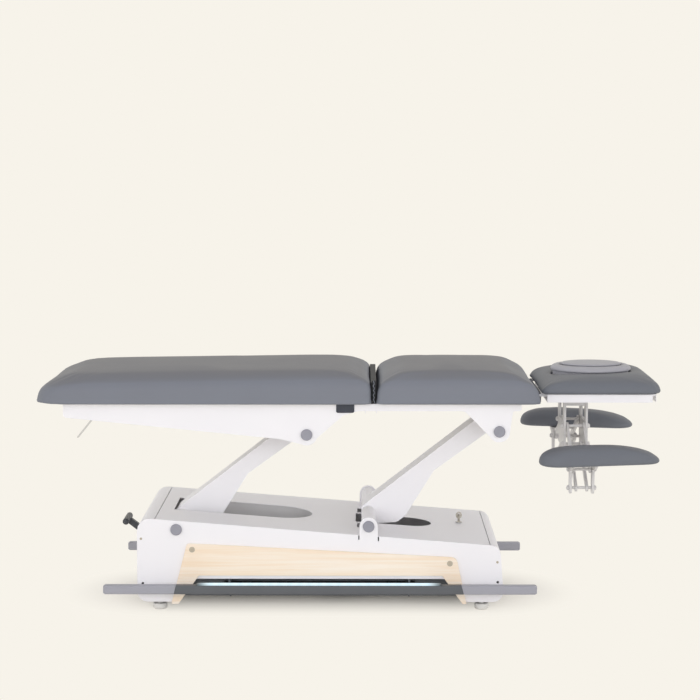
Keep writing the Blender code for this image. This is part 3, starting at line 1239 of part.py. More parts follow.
def build_rest_pad(side, sign, carrier):
    """The pad's bracket with its two pins, and the pad."""
    upper = rest_pins(sign, 0)[1]
    lower = rest_pins(sign, 1)[1]
    deck = upper.y + REST_PAD_RISE
    low = deck - GAP
    arm = REST_ARM_HALF
    soft = arm / 2
    centre_y = upper.x + sign * REST_PAD_OFFSET
    end = centre_y + sign * REST_PAD_WIDTH / 4
    outline = rounded([
        (upper.x - sign * arm, lower.y - arm, soft),
        (upper.x + sign * arm, lower.y - arm, soft),
        (upper.x + sign * arm * 1.4, upper.y),
        (end, low - REST_PLATE),
        (end, low - REST_PLATE / 4),
        (upper.x - sign * arm, low - REST_PLATE / 4),
    ])
    plate = prism(outline, "X", REST_X0, REST_X0 + REST_PLATE)
    bracket = add(f"pad_bracket_{side}", plate, carrier, "bright_steel")
    join(bracket, prism(outline, "X", REST_X1 - REST_PLATE, REST_X1))
    wide = sorted((upper.x + sign * arm / 4, end + sign * 0.002))
    join(bracket, block((REST_X0 - 0.002, REST_X1 + 0.002), wide, (low - REST_PLATE / 2, low)))
    for centre in (upper, lower):
        join(bracket, pin_with_domes(centre, REST_X0, REST_X1))
    x0 = HEAD_X0 - REST_PAD_START
    corners = (REST_PAD_CORNER, REST_PAD_CORNER)
    shape = padded(
        x0, x0 + REST_PAD_LENGTH, REST_PAD_WIDTH / 2, corners, deck, REST_PAD_THICKNESS, REST_PAD_CROWN,
        (REST_PAD_FAT_END, REST_PAD_TAPER), REST_PAD_SIDES,
    )
    middle = (REST_X0 + REST_X1) / 2
    toe = Matrix.Rotation(-sign * REST_PAD_TOE, 3, "Z")
    bmesh.ops.rotate(shape, verts=shape.verts, cent=(middle, 0, 0), matrix=toe)
    bmesh.ops.translate(shape, verts=shape.verts, vec=(0, centre_y, 0))
    add(f"armrest_pad_{side}", shape, carrier, "grey_vinyl")


def bar_section(side):
    """Square section of a foot bar with its edges broken, about (y, z)."""
    half = side / 2
    corners = ((-1, -1), (1, -1), (1, 1), (-1, 1))
    return rounded([(BAR_Y + a * half, BAR_Z + b * half, BAR_BEVEL) for a, b in corners])


def build_foot_bar(side, sign, carrier):
    """A foot bar with its pivot rod and arms in one weldment, and the dark sleeve over its middle."""
    end = BAR_X0 + BAR_LENGTH
    sleeve0 = BAR_X0 + SLEEVE_FROM_BAR_END
    sleeve1 = sleeve0 + SLEEVE_LENGTH
    outer = [(sign * y, z) for y, z in bar_section(BAR_SIDE)]
    core = [(sign * y, z) for y, z in bar_section(BAR_CORE)]
    bar = add(f"foot_bar_{side}", prism(core, "X", BAR_X0 + BAR_TIP, end - BAR_TIP), carrier, "cap_grey")
    tall = (BAR_Z - BAR_SIDE, BAR_Z + BAR_SIDE)
    wide = sorted((sign * (BAR_Y - BAR_SIDE), sign * (BAR_Y + BAR_SIDE)))
    trims = []
    for edge, way in ((sleeve0, 1), (sleeve1, -1)):
        tip = BAR_X0 if way > 0 else end
        steps = [(core, tip), (outer, tip + way * BAR_TIP), (outer, edge + way * BAR_SIDE)]
        steel = loft([[(x, y, z) for y, z in section] for section, x in steps])
        tip = add(f"bar_tip_{side}", steel, carrier, "cap_grey")
        tip.hide_render = True
        tip.display_type = "WIRE"
        slant = way * SLEEVE_SLANT
        beyond = edge + way * 2 * BAR_SIDE
        joint = edge - way * GAP
        cut(tip, prism([
            (joint - slant, tall[0]), (joint + slant, tall[1]), (beyond, tall[1]), (beyond, tall[0]),
        ], "Y", *wide))
        before = edge - way * 2 * BAR_SIDE
        trims.append(prism([
            (edge - slant, tall[0]), (edge + slant, tall[1]), (before, tall[1]), (before, tall[0]),
        ], "Y", *wide))
        modifier = bar.modifiers.new("Union", "BOOLEAN")
        modifier.operation = "UNION"
        modifier.solver = "EXACT"
        modifier.object = tip
    pivot_x = (BULKHEADS[0] - 0.020, BULKHEADS[1] + 0.020)
    join(bar, rod("X", (sign * BAR_PIVOT_Y, BAR_Z), BAR_PIVOT_RADIUS, *pivot_x, SMALL_SIDES))
    for x in (BULKHEADS[0] + 0.040, BULKHEADS[1] - 0.040 - BAR_ARM_WIDTH):
        level = (BAR_Z - BAR_ARM_THICKNESS / 2, BAR_Z + BAR_ARM_THICKNESS / 2)
        reach = sorted((sign * (BAR_PIVOT_Y - BAR_PIVOT_RADIUS / 2), sign * BAR_Y))
        join(bar, block((x, x + BAR_ARM_WIDTH), reach, level))

    sleeve_x = (sleeve0 - BAR_SIDE, sleeve1 + BAR_SIDE)
    sleeve = add(f"foot_bar_sleeve_{side}", prism(outer, "X", *sleeve_x), carrier, "tread")
    cut(sleeve, *trims)
    hollow = BAR_CORE / 2 + GAP
    inside = sorted((sign * (BAR_Y - BAR_SIDE), sign * (BAR_Y + hollow)))
    cut(sleeve, block((sleeve0 - 0.1, sleeve1 + 0.1), inside, (BAR_Z - hollow, BAR_Z + hollow)))


def castor_crank(shaft):
    """Where a castor shaft's crank pin stands, in the XZ plane."""
    return shaft + heading(CRANK_RADIUS, CRANK_ANGLE)


def build_castor_shaft(name, centre, carrier):
    """A cross shaft with the two arms of its wheels and a crank for the coupling bar."""
    reach = BASE_HALF - PANEL / 2 - GAP
    bar = rod("Y", centre, CASTOR_SHAFT_RADIUS, -reach, reach, SMALL_SIDES)
    shaft = add(name, bar, carrier, "grey_steel")
    axle = centre + heading(CASTOR_ARM, CASTOR_ARM_ANGLE)
    for sign in (-1, 1):
        faces = sorted((sign * CASTOR_ARM_Y, sign * (CASTOR_ARM_Y + CASTOR_ARM_PLATE)))
        join(shaft, prism(stadium(centre, axle, 0.014), "Y", *faces))
    pin = castor_crank(centre)
    plate_y = LINK_Y + LINK_PLATE + THRUST
    join(shaft, prism(stadium(centre, pin, 0.011), "Y", plate_y, plate_y + CASTOR_ARM_PLATE))
    join(shaft, rod("Y", pin, LINK_PIN_RADIUS, LINK_Y - THRUST, plate_y + CASTOR_ARM_PLATE / 2, SMALL_SIDES))
    cut(shaft, rod("Y", axle, bore(AXLE_RADIUS, SMALL_SIDES), -BASE_HALF, BASE_HALF, SMALL_SIDES))
    return shaft


def build_wheelset(name, centre, carrier):
    """Two wheels on one axle."""
    axle = centre + heading(CASTOR_ARM, CASTOR_ARM_ANGLE)
    outer = CASTOR_ARM_Y - THRUST
    inner = outer - WHEEL_WIDTH
    end = CASTOR_ARM_Y + CASTOR_ARM_PLATE
    soft = 0.004
    half = [
        (AXLE_RADIUS, end), (AXLE_RADIUS, outer), (WHEEL_RADIUS - soft, outer), (WHEEL_RADIUS, outer - soft),
        (WHEEL_RADIUS, inner + soft), (WHEEL_RADIUS - soft, inner), (AXLE_RADIUS, inner),
    ]
    profile = [(radius, -along) for radius, along in half] + [step for step in reversed(half)]
    add(name, turned(profile, "Y", axle), carrier, "black_plastic")


def build_castors(pedal, coupling, right, wheels):
    """Pedal lever, both castor shafts, the bar that couples them, and the wheels."""
    shaft = build_castor_shaft("castor_pedal", CASTOR_LEFT, pedal)
    grip = CASTOR_LEFT + heading(PEDAL_LENGTH, PEDAL_ANGLE)
    stem = prism(stadium(CASTOR_LEFT, grip, PEDAL_RADIUS), "Y", -PEDAL_RADIUS, PEDAL_RADIUS)
    length = PEDAL_GRIP_LENGTH / 2
    soft = PEDAL_GRIP_RADIUS / 2
    full = PEDAL_GRIP_RADIUS
    ends = [(soft, -length), (full, soft - length), (full, length - soft), (soft, length)]
    join(shaft, stem, turned(ends, "Y", grip, SMALL_SIDES))
    build_castor_shaft("castor_shaft_right", CASTOR_RIGHT, right)
    first, second = castor_crank(CASTOR_LEFT), castor_crank(CASTOR_RIGHT)
    strip = prism(stadium(first, second, LINK_HEIGHT / 2), "Y", LINK_Y, LINK_Y + LINK_PLATE)
    bar = add("castor_link", strip, coupling, "grey_steel")
    hole = bore(LINK_PIN_RADIUS, SMALL_SIDES)
    for centre in (first, second):
        cut(bar, rod("Y", centre, hole, LINK_Y - LINK_PLATE, LINK_Y + 2 * LINK_PLATE, SMALL_SIDES))
    build_wheelset("wheelset_left", CASTOR_LEFT, wheels[0])
    build_wheelset("wheelset_right", CASTOR_RIGHT, wheels[1])


def at(flat, y=0.0):
    """A point of the XZ plane as a 3-D place."""
    return (flat[0], y, flat[1])


def build_table():
    base = pivot("base", (0, 0, 0))
    build_housing(base)
    build_base_frame(base)
    build_lock(base)

    left_arm = pivot("lift_axis", at(LOWER_LEFT), base)
    right_arm = pivot("right_arm_axis", at(LOWER_RIGHT), base)
    push = pivot("actuator_axis", (LOWER_RIGHT.x, 0, ACTUATOR_Z), base)
    build_lift(base, left_arm, right_arm, push)

    upper = pivot("upper_frame_axis", at(UPPER_LEFT), left_arm)
    lever = pivot("release_lever_axis", at(LEVER_PIVOT), upper)
    build_upper_frame(upper, lever)
    build_mid(upper)

    long_axis = pivot("long_section_axis", (LONG_AXIS_X, 0, LONG_AXIS_Z), upper)
    spring = pivot("gas_spring_axis", at(SPRING_ANCHOR, SPRING_Y), upper)
    piston = pivot("gas_spring_slide", at(SPRING_LUG, SPRING_Y), spring)
    build_long(long_axis, spring, piston)

    head = pivot("head_axis", (HEAD_AXIS_X, 0, HEAD_AXIS_Z), upper)
    plug = pivot("face_plug_slide", (FACE_X, 0, HEAD_DECK_Z), head)
    build_head(head, plug)
    build_rest_bracket(head)
    for side, sign in (("near", -1), ("far", 1)):
        middle = (REST_X0 + REST_X1) / 2
        carriers = []
        for step, row in enumerate(("upper", "lower")):
            inner = rest_pins(sign, step)[0]
            carriers.append(pivot(f"armrest_{row}_axis_{side}", (middle, *inner), head))
            build_rest_link(f"armrest_{row}_link_{side}", sign, step, carriers[step])
        outer = rest_pins(sign, 0)[1]
        build_rest_pad(side, sign, pivot(f"armrest_pad_axis_{side}", (middle, *outer), carriers[0]))

        tread = pivot(f"foot_bar_axis_{side}", (0, sign * BAR_PIVOT_Y, BAR_Z), base)
        build_foot_bar(side, sign, tread)

    pedal = pivot("castor_pedal_axis", at(CASTOR_LEFT), base)
    coupling = pivot("castor_link_axis", at(castor_crank(CASTOR_LEFT), LINK_Y), pedal)
    right = pivot("castor_right_axis", at(CASTOR_RIGHT), base)
    wheels = []
    for name, centre, carrier in (("left", CASTOR_LEFT, pedal), ("right", CASTOR_RIGHT, right)):
        axle = centre + heading(CASTOR_ARM, CASTOR_ARM_ANGLE)
        wheels.append(pivot(f"wheel_axis_{name}", at(axle), carrier))
    build_castors(pedal, coupling, right, wheels)


for leftover in list(bpy.data.objects):
    bpy.data.objects.remove(leftover, do_unlink=True)
build_table()
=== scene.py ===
# %% [markdown]
# A treatment table, dressed for the camera.
# The table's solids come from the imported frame: plates, arms, shafts and boards, already in place
# and in metres. This lesson adds what the eye looks for: stretched vinyl over foam, powder coat,
# birch veneer, rubber, light strips and the small fasteners. +X points to the head end, -Y is the
# near side and +Z is up.

# %% Load the frame
import math

import bmesh
import bpy
from mathutils import Matrix, Vector, noise


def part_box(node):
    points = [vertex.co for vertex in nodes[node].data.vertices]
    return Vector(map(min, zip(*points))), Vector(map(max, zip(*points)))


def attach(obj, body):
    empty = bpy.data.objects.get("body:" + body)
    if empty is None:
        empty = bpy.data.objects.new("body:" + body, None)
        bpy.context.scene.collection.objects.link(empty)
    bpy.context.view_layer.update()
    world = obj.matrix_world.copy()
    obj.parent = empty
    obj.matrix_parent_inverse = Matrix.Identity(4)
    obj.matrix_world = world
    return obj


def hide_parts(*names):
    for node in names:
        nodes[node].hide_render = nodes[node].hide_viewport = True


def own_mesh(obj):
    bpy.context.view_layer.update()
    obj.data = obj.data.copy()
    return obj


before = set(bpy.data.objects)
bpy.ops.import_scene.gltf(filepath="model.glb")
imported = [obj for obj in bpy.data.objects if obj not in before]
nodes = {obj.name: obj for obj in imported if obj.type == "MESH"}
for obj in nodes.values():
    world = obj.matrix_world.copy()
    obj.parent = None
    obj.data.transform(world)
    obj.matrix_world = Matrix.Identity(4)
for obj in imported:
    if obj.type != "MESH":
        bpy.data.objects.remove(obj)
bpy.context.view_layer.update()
scene = bpy.context.scene
scene.view_settings.view_transform = "Standard"

# %% [markdown]
# The camera.
# The photograph looks at the long side from a little above and from far away, so the sides stay
# almost parallel. A short lens close by would splay them, and a camera without perspective would
# lose the far edges that just show. A long lens seven metres off gives that view. The aim and the
# lens were worked out from the near and far edges of the top and from the foot bars.

# %% Camera
LENS_MM, SENSOR_MM = 104.9, 36.0
CAMERA_PLACE = (0.0415, -7.0, 1.5601)
LOOKS_DOWN, LOOKS_ASIDE = math.radians(5.851), math.radians(0.334)
camera_data = bpy.data.cameras.new("studio_camera")
camera_data.lens = LENS_MM
camera_data.sensor_width = SENSOR_MM
camera = bpy.data.objects.new("studio_camera", camera_data)
camera.location = CAMERA_PLACE
camera.rotation_euler = (math.pi / 2 - LOOKS_DOWN, 0.0, LOOKS_ASIDE)
scene.collection.objects.link(camera)
scene.camera = camera
print("camera at", CAMERA_PLACE, "lens", LENS_MM, "mm")

# %% [markdown]
# Colours and nodes.
# Colours are written as the hex values a paint chart gives, and one function turns them to the
# linear numbers that the shader needs. One more function adds a node, sets its values and links
# its inputs, so that each finish below reads like a recipe. Patterns are sized in millimetres on
# the real surface, and they run in three dimensions, so no unwrapping is needed.

# %% Helpers for finishes
MM = 0.001
OBJECT, NORMAL = 3, 1  # outputs of the coordinates node
NOISE, RANGE, MIX = "ShaderNodeTexNoise", "ShaderNodeMapRange", "ShaderNodeMix"
BUMP, SPLIT, MATH = "ShaderNodeBump", "ShaderNodeSeparateXYZ", "ShaderNodeMath"
COLOURS = {"data_type": "RGBA"}  # a Mix node then has its colours at inputs 6 and 7, output 2
SMOOTH = {"interpolation_type": "SMOOTHSTEP"}
finishes = {}


def linear(hex_colour):
    """The linear colour of an sRGB hex value."""
    parts = [int(hex_colour[i:i + 2], 16) / 255 for i in (1, 3, 5)]
    straight = [p / 12.92 if p <= 0.04045 else ((p + 0.055) / 1.055) ** 2.4 for p in parts]
    return (*straight, 1.0)


def repeats(size_mm):
    """How often a pattern of this size repeats in a metre."""
    return 1000 / size_mm


def connect(tree, node, **inputs):
    """Sets inputs, by name or by i and a number, to values or to (node, output) pairs."""
    for name, value in inputs.items():
        numbered = name[0] == "i" and name[1:].isdigit()
        key = int(name[1:]) if numbered else name.replace("_", " ")
        if isinstance(value, tuple) and isinstance(value[0], bpy.types.Node):
            tree.links.new(value[0].outputs[value[1]], node.inputs[key])
        else:
            node.inputs[key].default_value = value


def add_node(tree, kind, settings=None, **inputs):
    """One node with its settings, values and links."""
    made = tree.nodes.new(kind)
    for name, value in (settings or {}).items():
        setattr(made, name, value)
    connect(tree, made, **inputs)
    return made


def new_finish(name, colour, roughness, metallic=0.0, ior=1.5):
    """A material with its plain values set; returns its tree, shader and coordinates."""
    material = finishes[name] = bpy.data.materials.new(name)
    material.use_nodes = True
    tree = material.node_tree
    shader = tree.nodes["Principled BSDF"]
    connect(tree, shader, Base_Color=linear(colour), Roughness=roughness)
    connect(tree, shader, Metallic=metallic, IOR=ior)
    return tree, shader, add_node(tree, "ShaderNodeTexCoord")


def facing(tree, place, low, high):
    """0 where the surface faces below one slope, 1 above another, from its own normal."""
    parts = add_node(tree, SPLIT, None, Vector=(place, NORMAL))
    return add_node(tree, RANGE, None, Value=(parts, 2), From_Min=low, From_Max=high)


print("grey at half:", round(linear("#808080")[0], 3))

# %% [markdown]
# Powder coat.
# Housing, arms and plates are steel, sprayed with white polyester powder and baked. The melted
# powder leaves a faint orange peel, about 3 mm from bump to bump here so that it shows, and a
# satin gloss. A single flat colour would look like paper, so a slow cloud of noise shifts the
# tone a little. The hinge bars have the same coat in a dull grey.


# %% White and grey powder coat
def powder_coat(name, colour, shade, roughness, gloss=0.5):
    """Sprayed and baked powder: orange peel in the gloss and in the relief."""
    tree, shader, place = new_finish(name, colour, roughness)
    spot = (place, OBJECT)
    peel = add_node(tree, NOISE, None, Vector=spot, Scale=repeats(3.0), Detail=2.0)
    cloud = add_node(tree, NOISE, None, Vector=spot, Scale=repeats(250), Detail=3.0)
    tone = add_node(tree, MIX, COLOURS, i0=(cloud, 0), i6=linear(colour), i7=linear(shade))
    least, most = roughness - 0.06, roughness + 0.06
    rough = add_node(tree, RANGE, None, Value=(peel, 0), To_Min=least, To_Max=most)
    bump = add_node(tree, BUMP, None, Height=(peel, 0), Strength=0.15, Distance=0.05 * MM)
    connect(tree, shader, Base_Color=(tone, 2), Roughness=(rough, 0), Normal=(bump, 0))
    connect(tree, shader, Specular_IOR_Level=gloss)


powder_coat("white_powder_coat", "#F8F6F7", "#F3F1F3", 0.42)
powder_coat("silver_powder_coat", "#DFDDDB", "#D0CECD", 0.36)
powder_coat("dark_powder_coat", "#46484C", "#3E4044", 0.45)
powder_coat("inner_frame_coat", "#6A6E74", "#606469", 0.50)
powder_coat("hinge_grey_coat", "#77787C", "#6C6D72", 0.80, gloss=0.1)
print("powder coats:", len(finishes))

# %% [markdown]
# Vinyl upholstery.
# The cushions are covered in PVC-coated fabric: a soft plastic skin, embossed with a fine leather
# grain. The grain cells are about 1.5 mm; drawn at 2.5 mm they just show in the render. Plain
# noise would look like sand, so the cells come from a Voronoi pattern, bent a little. The skin is
# slightly glossy, unevenly so where hands have polished it. Its colour holds painted light and
# shade: the sides are a lighter bluish grey, a painted reflection, and the top a darker plain grey,
# painted shade.


# %% Grey vinyl and pale vinyl
def embossed_vinyl(name, side, top, worn, roughness):
    """Coated fabric with a leather grain; painted shade on top, a painted bluish light on the
    sides.
    """
    tree, shader, place = new_finish(name, side, roughness, ior=1.52)
    spot = (place, OBJECT)
    warp = add_node(tree, NOISE, None, Vector=spot, Scale=repeats(9), Detail=2.0)
    bent = add_node(tree, MIX, {"data_type": "VECTOR"}, i0=0.0025, i4=spot, i5=(warp, 1))
    edges = {"feature": "DISTANCE_TO_EDGE"}
    cells = add_node(tree, "ShaderNodeTexVoronoi", edges, Vector=(bent, 1), Scale=repeats(2.5))
    pebble = add_node(tree, RANGE, SMOOTH, Value=(cells, 0), From_Max=0.25)
    cloud = add_node(tree, NOISE, None, Vector=spot, Scale=repeats(180), Detail=4.0)
    # painted light and shade: a darker grey where the skin faces up, a lighter bluish grey on the
    # sides
    upward = facing(tree, place, 0.72, 0.99)
    painted_light_and_shade = add_node(tree, MIX, COLOURS, i0=(upward, 0), i6=linear(side), i7=linear(top))
    patch = add_node(tree, RANGE, None, Value=(cloud, 0), To_Min=0.0, To_Max=0.5)
    both = add_node(tree, MIX, COLOURS, i0=(patch, 0), i6=(painted_light_and_shade, 2), i7=linear(worn))
    least, most = roughness - 0.05, roughness + 0.08
    rough = add_node(tree, RANGE, None, Value=(cloud, 0), To_Min=least, To_Max=most)
    bump = add_node(tree, BUMP, None, Height=(pebble, 0), Strength=0.25, Distance=0.12 * MM)
    connect(tree, shader, Base_Color=(both, 2), Roughness=(rough, 0), Normal=(bump, 0))
    connect(tree, shader, Specular_IOR_Level=0.25)


embossed_vinyl("grey_vinyl", "#7F838C", "#717174", "#7A7B81", 0.50)
embossed_vinyl("head_vinyl", "#70747B", "#6E7075", "#717379", 0.50)
embossed_vinyl("pale_vinyl", "#AEADB2", "#ACABAE", "#B0AFB3", 0.48)
print("vinyls:", [name for name in finishes if name.endswith("vinyl")])

# %% [markdown]
# Birch veneer.
# The side panels are birch plywood under clear varnish. Rotary-cut birch has long, wavy, pale
# grain along the panel: bands about 13 mm high that run for nearly half a metre, with finer pores
# inside them. A wave pattern would repeat too evenly, so a noise pattern is stretched along X for
# both.


# %% Birch
def birch_veneer(name):
    """Varnished veneer: long bands for the grain, short dark specks for the pores."""
    tree, shader, place = new_finish(name, "#FBEBD6", 0.42)
    spot = (place, OBJECT)
    long_bands = (repeats(420), repeats(60), repeats(13))
    shrink = add_node(tree, "ShaderNodeMapping", None, Vector=spot, Scale=long_bands)
    drift = {"Scale": 1.0, "Detail": 3.0, "Distortion": 0.6}
    bands = add_node(tree, NOISE, None, Vector=(shrink, 0), **drift)
    short_pores = (repeats(60), repeats(8), repeats(1.8))
    fine = add_node(tree, "ShaderNodeMapping", None, Vector=spot, Scale=short_pores)
    pores = add_node(tree, NOISE, None, Vector=(fine, 0), Scale=1.0, Detail=2.0)
    tone = add_node(tree, RANGE, None, Value=(bands, 0), From_Min=0.32, From_Max=0.68)
    light, deep = linear("#FDF0DF"), linear("#F8E2C6")
    grain = add_node(tree, MIX, COLOURS, i0=(tone, 0), i6=light, i7=deep)
    dark = {"From_Min": 0.55, "From_Max": 0.8, "To_Max": 0.22}
    speck = add_node(tree, RANGE, None, Value=(pores, 0), **dark)
    both = add_node(tree, MIX, COLOURS, i0=(speck, 0), i6=(grain, 2), i7=linear("#EBCBA0"))
    rough = add_node(tree, RANGE, None, Value=(bands, 0), To_Min=0.36, To_Max=0.50)
    bump = add_node(tree, BUMP, None, Height=(pores, 0), Strength=0.12, Distance=0.08 * MM)
    connect(tree, shader, Base_Color=(both, 2), Roughness=(rough, 0), Normal=(bump, 0))
    connect(tree, shader, Coat_Weight=0.15, Coat_Roughness=0.35)


birch_veneer("birch_veneer")
print("veneer nodes:", len(finishes["birch_veneer"].node_tree.nodes))

# %% [markdown]
# Plastics, rubber and bare metal.
# Moulded plastics have a spark-eroded texture of about a millimetre, rubber is duller and a
# little blotchy, and drawn steel shows fine scratches along the piece. They could each have a
# recipe of their own, but they differ only in colour, gloss and grit, so one function covers the
# moulded ones and one the metals.


# %% Moulded and metal finishes
def moulded(name, colour, shade, roughness, grit_mm=1.2):
    """Moulded plastic or rubber; returns what a finish that changes over a piece builds on."""
    tree, shader, place = new_finish(name, colour, roughness, ior=1.48)
    spot = (place, OBJECT)
    grit = add_node(tree, NOISE, None, Vector=spot, Scale=repeats(grit_mm), Detail=2.0)
    cloud = add_node(tree, NOISE, None, Vector=spot, Scale=repeats(90), Detail=3.0)
    tone = add_node(tree, MIX, COLOURS, i0=(cloud, 0), i6=linear(colour), i7=linear(shade))
    least, most = roughness - 0.05, roughness + 0.08
    rough = add_node(tree, RANGE, None, Value=(cloud, 0), To_Min=least, To_Max=most)
    bump = add_node(tree, BUMP, None, Height=(grit, 0), Strength=0.2, Distance=0.06 * MM)
    connect(tree, shader, Base_Color=(tone, 2), Roughness=(rough, 0), Normal=(bump, 0))
    return tree, shader, place, tone


def drawn_steel(name, colour, roughness):
    """Bare metal with long fine scratches along X."""
    tree, shader, place = new_finish(name, colour, roughness, metallic=1.0)
    drawn = (repeats(40), repeats(0.8), repeats(0.8))
    lines = add_node(tree, "ShaderNodeMapping", None, Vector=(place, OBJECT), Scale=drawn)
    scratch = add_node(tree, NOISE, None, Vector=(lines, 0), Scale=1.0, Detail=3.0)
    least, most = roughness - 0.08, roughness + 0.12
    rough = add_node(tree, RANGE, None, Value=(scratch, 0), To_Min=least, To_Max=most)
    bump = add_node(tree, BUMP, None, Height=(scratch, 0), Strength=0.1, Distance=0.03 * MM)
    connect(tree, shader, Roughness=(rough, 0), Normal=(bump, 0))


moulded("black_abs", "#232426", "#1C1D1F", 0.48)
moulded("charcoal_sleeve", "#5F6266", "#585B5F", 0.46)
moulded("grey_nylon_cap", "#9C9CA5", "#94949D", 0.46)
moulded("pale_rubber", "#F0EEE8", "#E6E4DE", 0.70, 1.6)
moulded("dark_rubber", "#37383A", "#2E2F31", 0.70, 1.6)
moulded("tag_plastic", "#3B3F4A", "#343843", 0.50, 0.9)
moulded("wood_cap", "#C4B9A6", "#B8AD9A", 0.45, 0.9)
drawn_steel("bright_steel", "#C9C8C6", 0.30)
drawn_steel("nickel_key", "#B9B4AA", 0.26)
print("finishes so far:", len(finishes))

# %% [markdown]
# Two finishes that change over a piece.
# The foot bars are grey anodised tubes, but their pivot rods and arms inside the housing are
# coloured near black: painted shade for the dark recess that they lie in. Both belong to one
# solid, so the finish turns dark towards the middle of the table instead of the solid being cut.
# The plywood under the cushions is lined with pale fleece below and coloured dark at its edges,
# painted shade for the dark line under the cushions, so its finish follows the way that the
# surface faces.

# %% Foot bars and boards
PAINT_ENDS, BARE_STARTS = 0.330, 0.340  # distance from the table's middle plane
tree, shader, place, tone = moulded("anodised_bar", "#A6A6AE", "#9F9FA7", 0.40, 0.9)
spot = add_node(tree, SPLIT, None, Vector=(place, OBJECT))
away = add_node(tree, MATH, {"operation": "ABSOLUTE"}, i0=(spot, 1))
outside = add_node(tree, RANGE, None, Value=(away, 0), From_Min=PAINT_ENDS, From_Max=BARE_STARTS)
# near black towards the middle of the table: painted shade for the recess inside the housing
painted = add_node(tree, MIX, COLOURS, i0=(outside, 0), i6=linear("#242629"), i7=(tone, 2))
connect(tree, shader, Base_Color=(painted, 2))

tree, shader, place, tone = moulded("lined_plywood", "#D9D7D2", "#CFCDC8", 0.75, 3.0)
level = facing(tree, place, -0.9, -0.7)
# dark wherever the board does not face down: painted shade for the line under the cushions
edge = add_node(tree, MIX, COLOURS, i0=(level, 0), i6=(tone, 2), i7=linear("#3A3A3C"))
connect(tree, shader, Base_Color=(edge, 2))
print("finishes with bars and boards:", len(finishes))

# %% [markdown]
# Painted lamp light.
# A lamp hidden under the housing's lip lights the top of each foot bar's sleeve. That light is
# painted: a thin strip on the sleeve's top glows by itself. A lamp behind clear plastic would be
# truer, but it would light its surroundings with noise, so the strip's own surface glows. The row
# of small lamps stops short of the ends, so the glow fades there over a few centimetres, and the
# lamps show in it as a faint ripple.

# %% Painted lamp light
STRIP_INSET, STRIP_FADE, LAMP_SPACING = 0.075, 0.045, 0.0166
bar_low, bar_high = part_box("foot_bar_sleeve_near")
strip_start, strip_end = bar_low.x + STRIP_INSET, bar_high.x - STRIP_INSET
# painted light: this glowing surface stands in for the light that a hidden lamp casts on the sleeve
tree, shader, place = new_finish("painted_lamp_light", "#3A4046", 0.35, ior=1.49)
spot = add_node(tree, SPLIT, None, Vector=(place, OBJECT))
grows = {"From_Min": strip_start, "From_Max": strip_start + STRIP_FADE}
rise = add_node(tree, RANGE, None, Value=(spot, 0), **grows)
fades = {"From_Min": strip_end, "From_Max": strip_end - STRIP_FADE}
fall = add_node(tree, RANGE, None, Value=(spot, 0), **fades)
glow = add_node(tree, MATH, {"operation": "MULTIPLY"}, i0=(rise, 0), i1=(fall, 0))
along_x, lamp_scale = {"bands_direction": "X"}, 1 / LAMP_SPACING / 6.2832
ripple = add_node(tree, "ShaderNodeTexWave", along_x, Vector=(place, OBJECT), Scale=lamp_scale)
lamps = add_node(tree, MIX, COLOURS, i0=(ripple, 0), i6=linear("#D3EDF9"), i7=linear("#E2F6FD"))
connect(tree, shader, Emission_Color=(lamps, 2), Emission_Strength=(glow, 0))
print("finishes:", sorted(finishes))

# %% [markdown]
# Dressing the solids.
# A CAD node keeps its shape and gets a finish. Sheet steel never has a knife edge. Rounding every
# edge in the mesh would change the solids, so a weld of the split corners and a small bevel, both
# as modifiers, let the edges catch the light as the folded originals do.

# %% Finishes of the nodes
dress = {
    "white_powder_coat": [
        "side_panel_near", "side_panel_far", "top_cover", "end_cover_left", "end_cover_right",
        "lift_arm_left", "lift_arm_right", "side_plate_near", "side_plate_far", "cross_beam_leg",
        "cross_beam_spring", "head_frame",
    ],
    "silver_powder_coat": [
        "armrest_bracket", "armrest_upper_link_near", "armrest_upper_link_far",
        "armrest_lower_link_near", "armrest_lower_link_far", "pad_bracket_near", "pad_bracket_far",
    ],
    "inner_frame_coat": ["base_frame", "castor_shaft_right", "castor_link"],
    "hinge_grey_coat": ["section_hinge", "head_hinge"],
    "dark_powder_coat": ["castor_pedal"],
    "birch_veneer": ["wood_panel_near", "wood_panel_far"],
    "lined_plywood": ["long_board", "mid_board"],
    "black_abs": ["actuator_body", "control_box", "mains_inlet", "gas_spring_cylinder"],
    "bright_steel": ["actuator_rod", "gas_spring_rod", "release_lever", "key_lock"],
    "anodised_bar": ["foot_bar_near", "foot_bar_far"],
    "charcoal_sleeve": ["foot_bar_sleeve_near", "foot_bar_sleeve_far"],
}
fine_edges = {
    "key_lock", "gas_spring_rod", "gas_spring_cylinder", "release_lever", "long_board",
    "castor_link",
}
FINE_BEVEL, SHEET_BEVEL, BEVEL_ANGLE, SPLIT_CORNER = 0.0004, 0.0010, 32, 0.00001


def soften_edges(piece, width):
    """Welds the split corners of the imported mesh, then rounds sharp edges by a modifier."""
    weld = piece.modifiers.new("Weld", "WELD")
    weld.merge_threshold = SPLIT_CORNER
    bevel = piece.modifiers.new("Bevel", "BEVEL")
    bevel.width = width
    bevel.segments = 2
    bevel.limit_method = "ANGLE"
    bevel.angle_limit = math.radians(BEVEL_ANGLE)
    bevel.harden_normals = False
    piece.data.shade_smooth()
    normals = piece.modifiers.new("Normals", "WEIGHTED_NORMAL")
    normals.keep_sharp = True


for finish, names in dress.items():
    for name in names:
        nodes[name].data.materials.clear()
        nodes[name].data.materials.append(finishes[finish])
        soften_edges(nodes[name], FINE_BEVEL if name in fine_edges else SHEET_BEVEL)
print("dressed:", sum(len(names) for names in dress.values()))

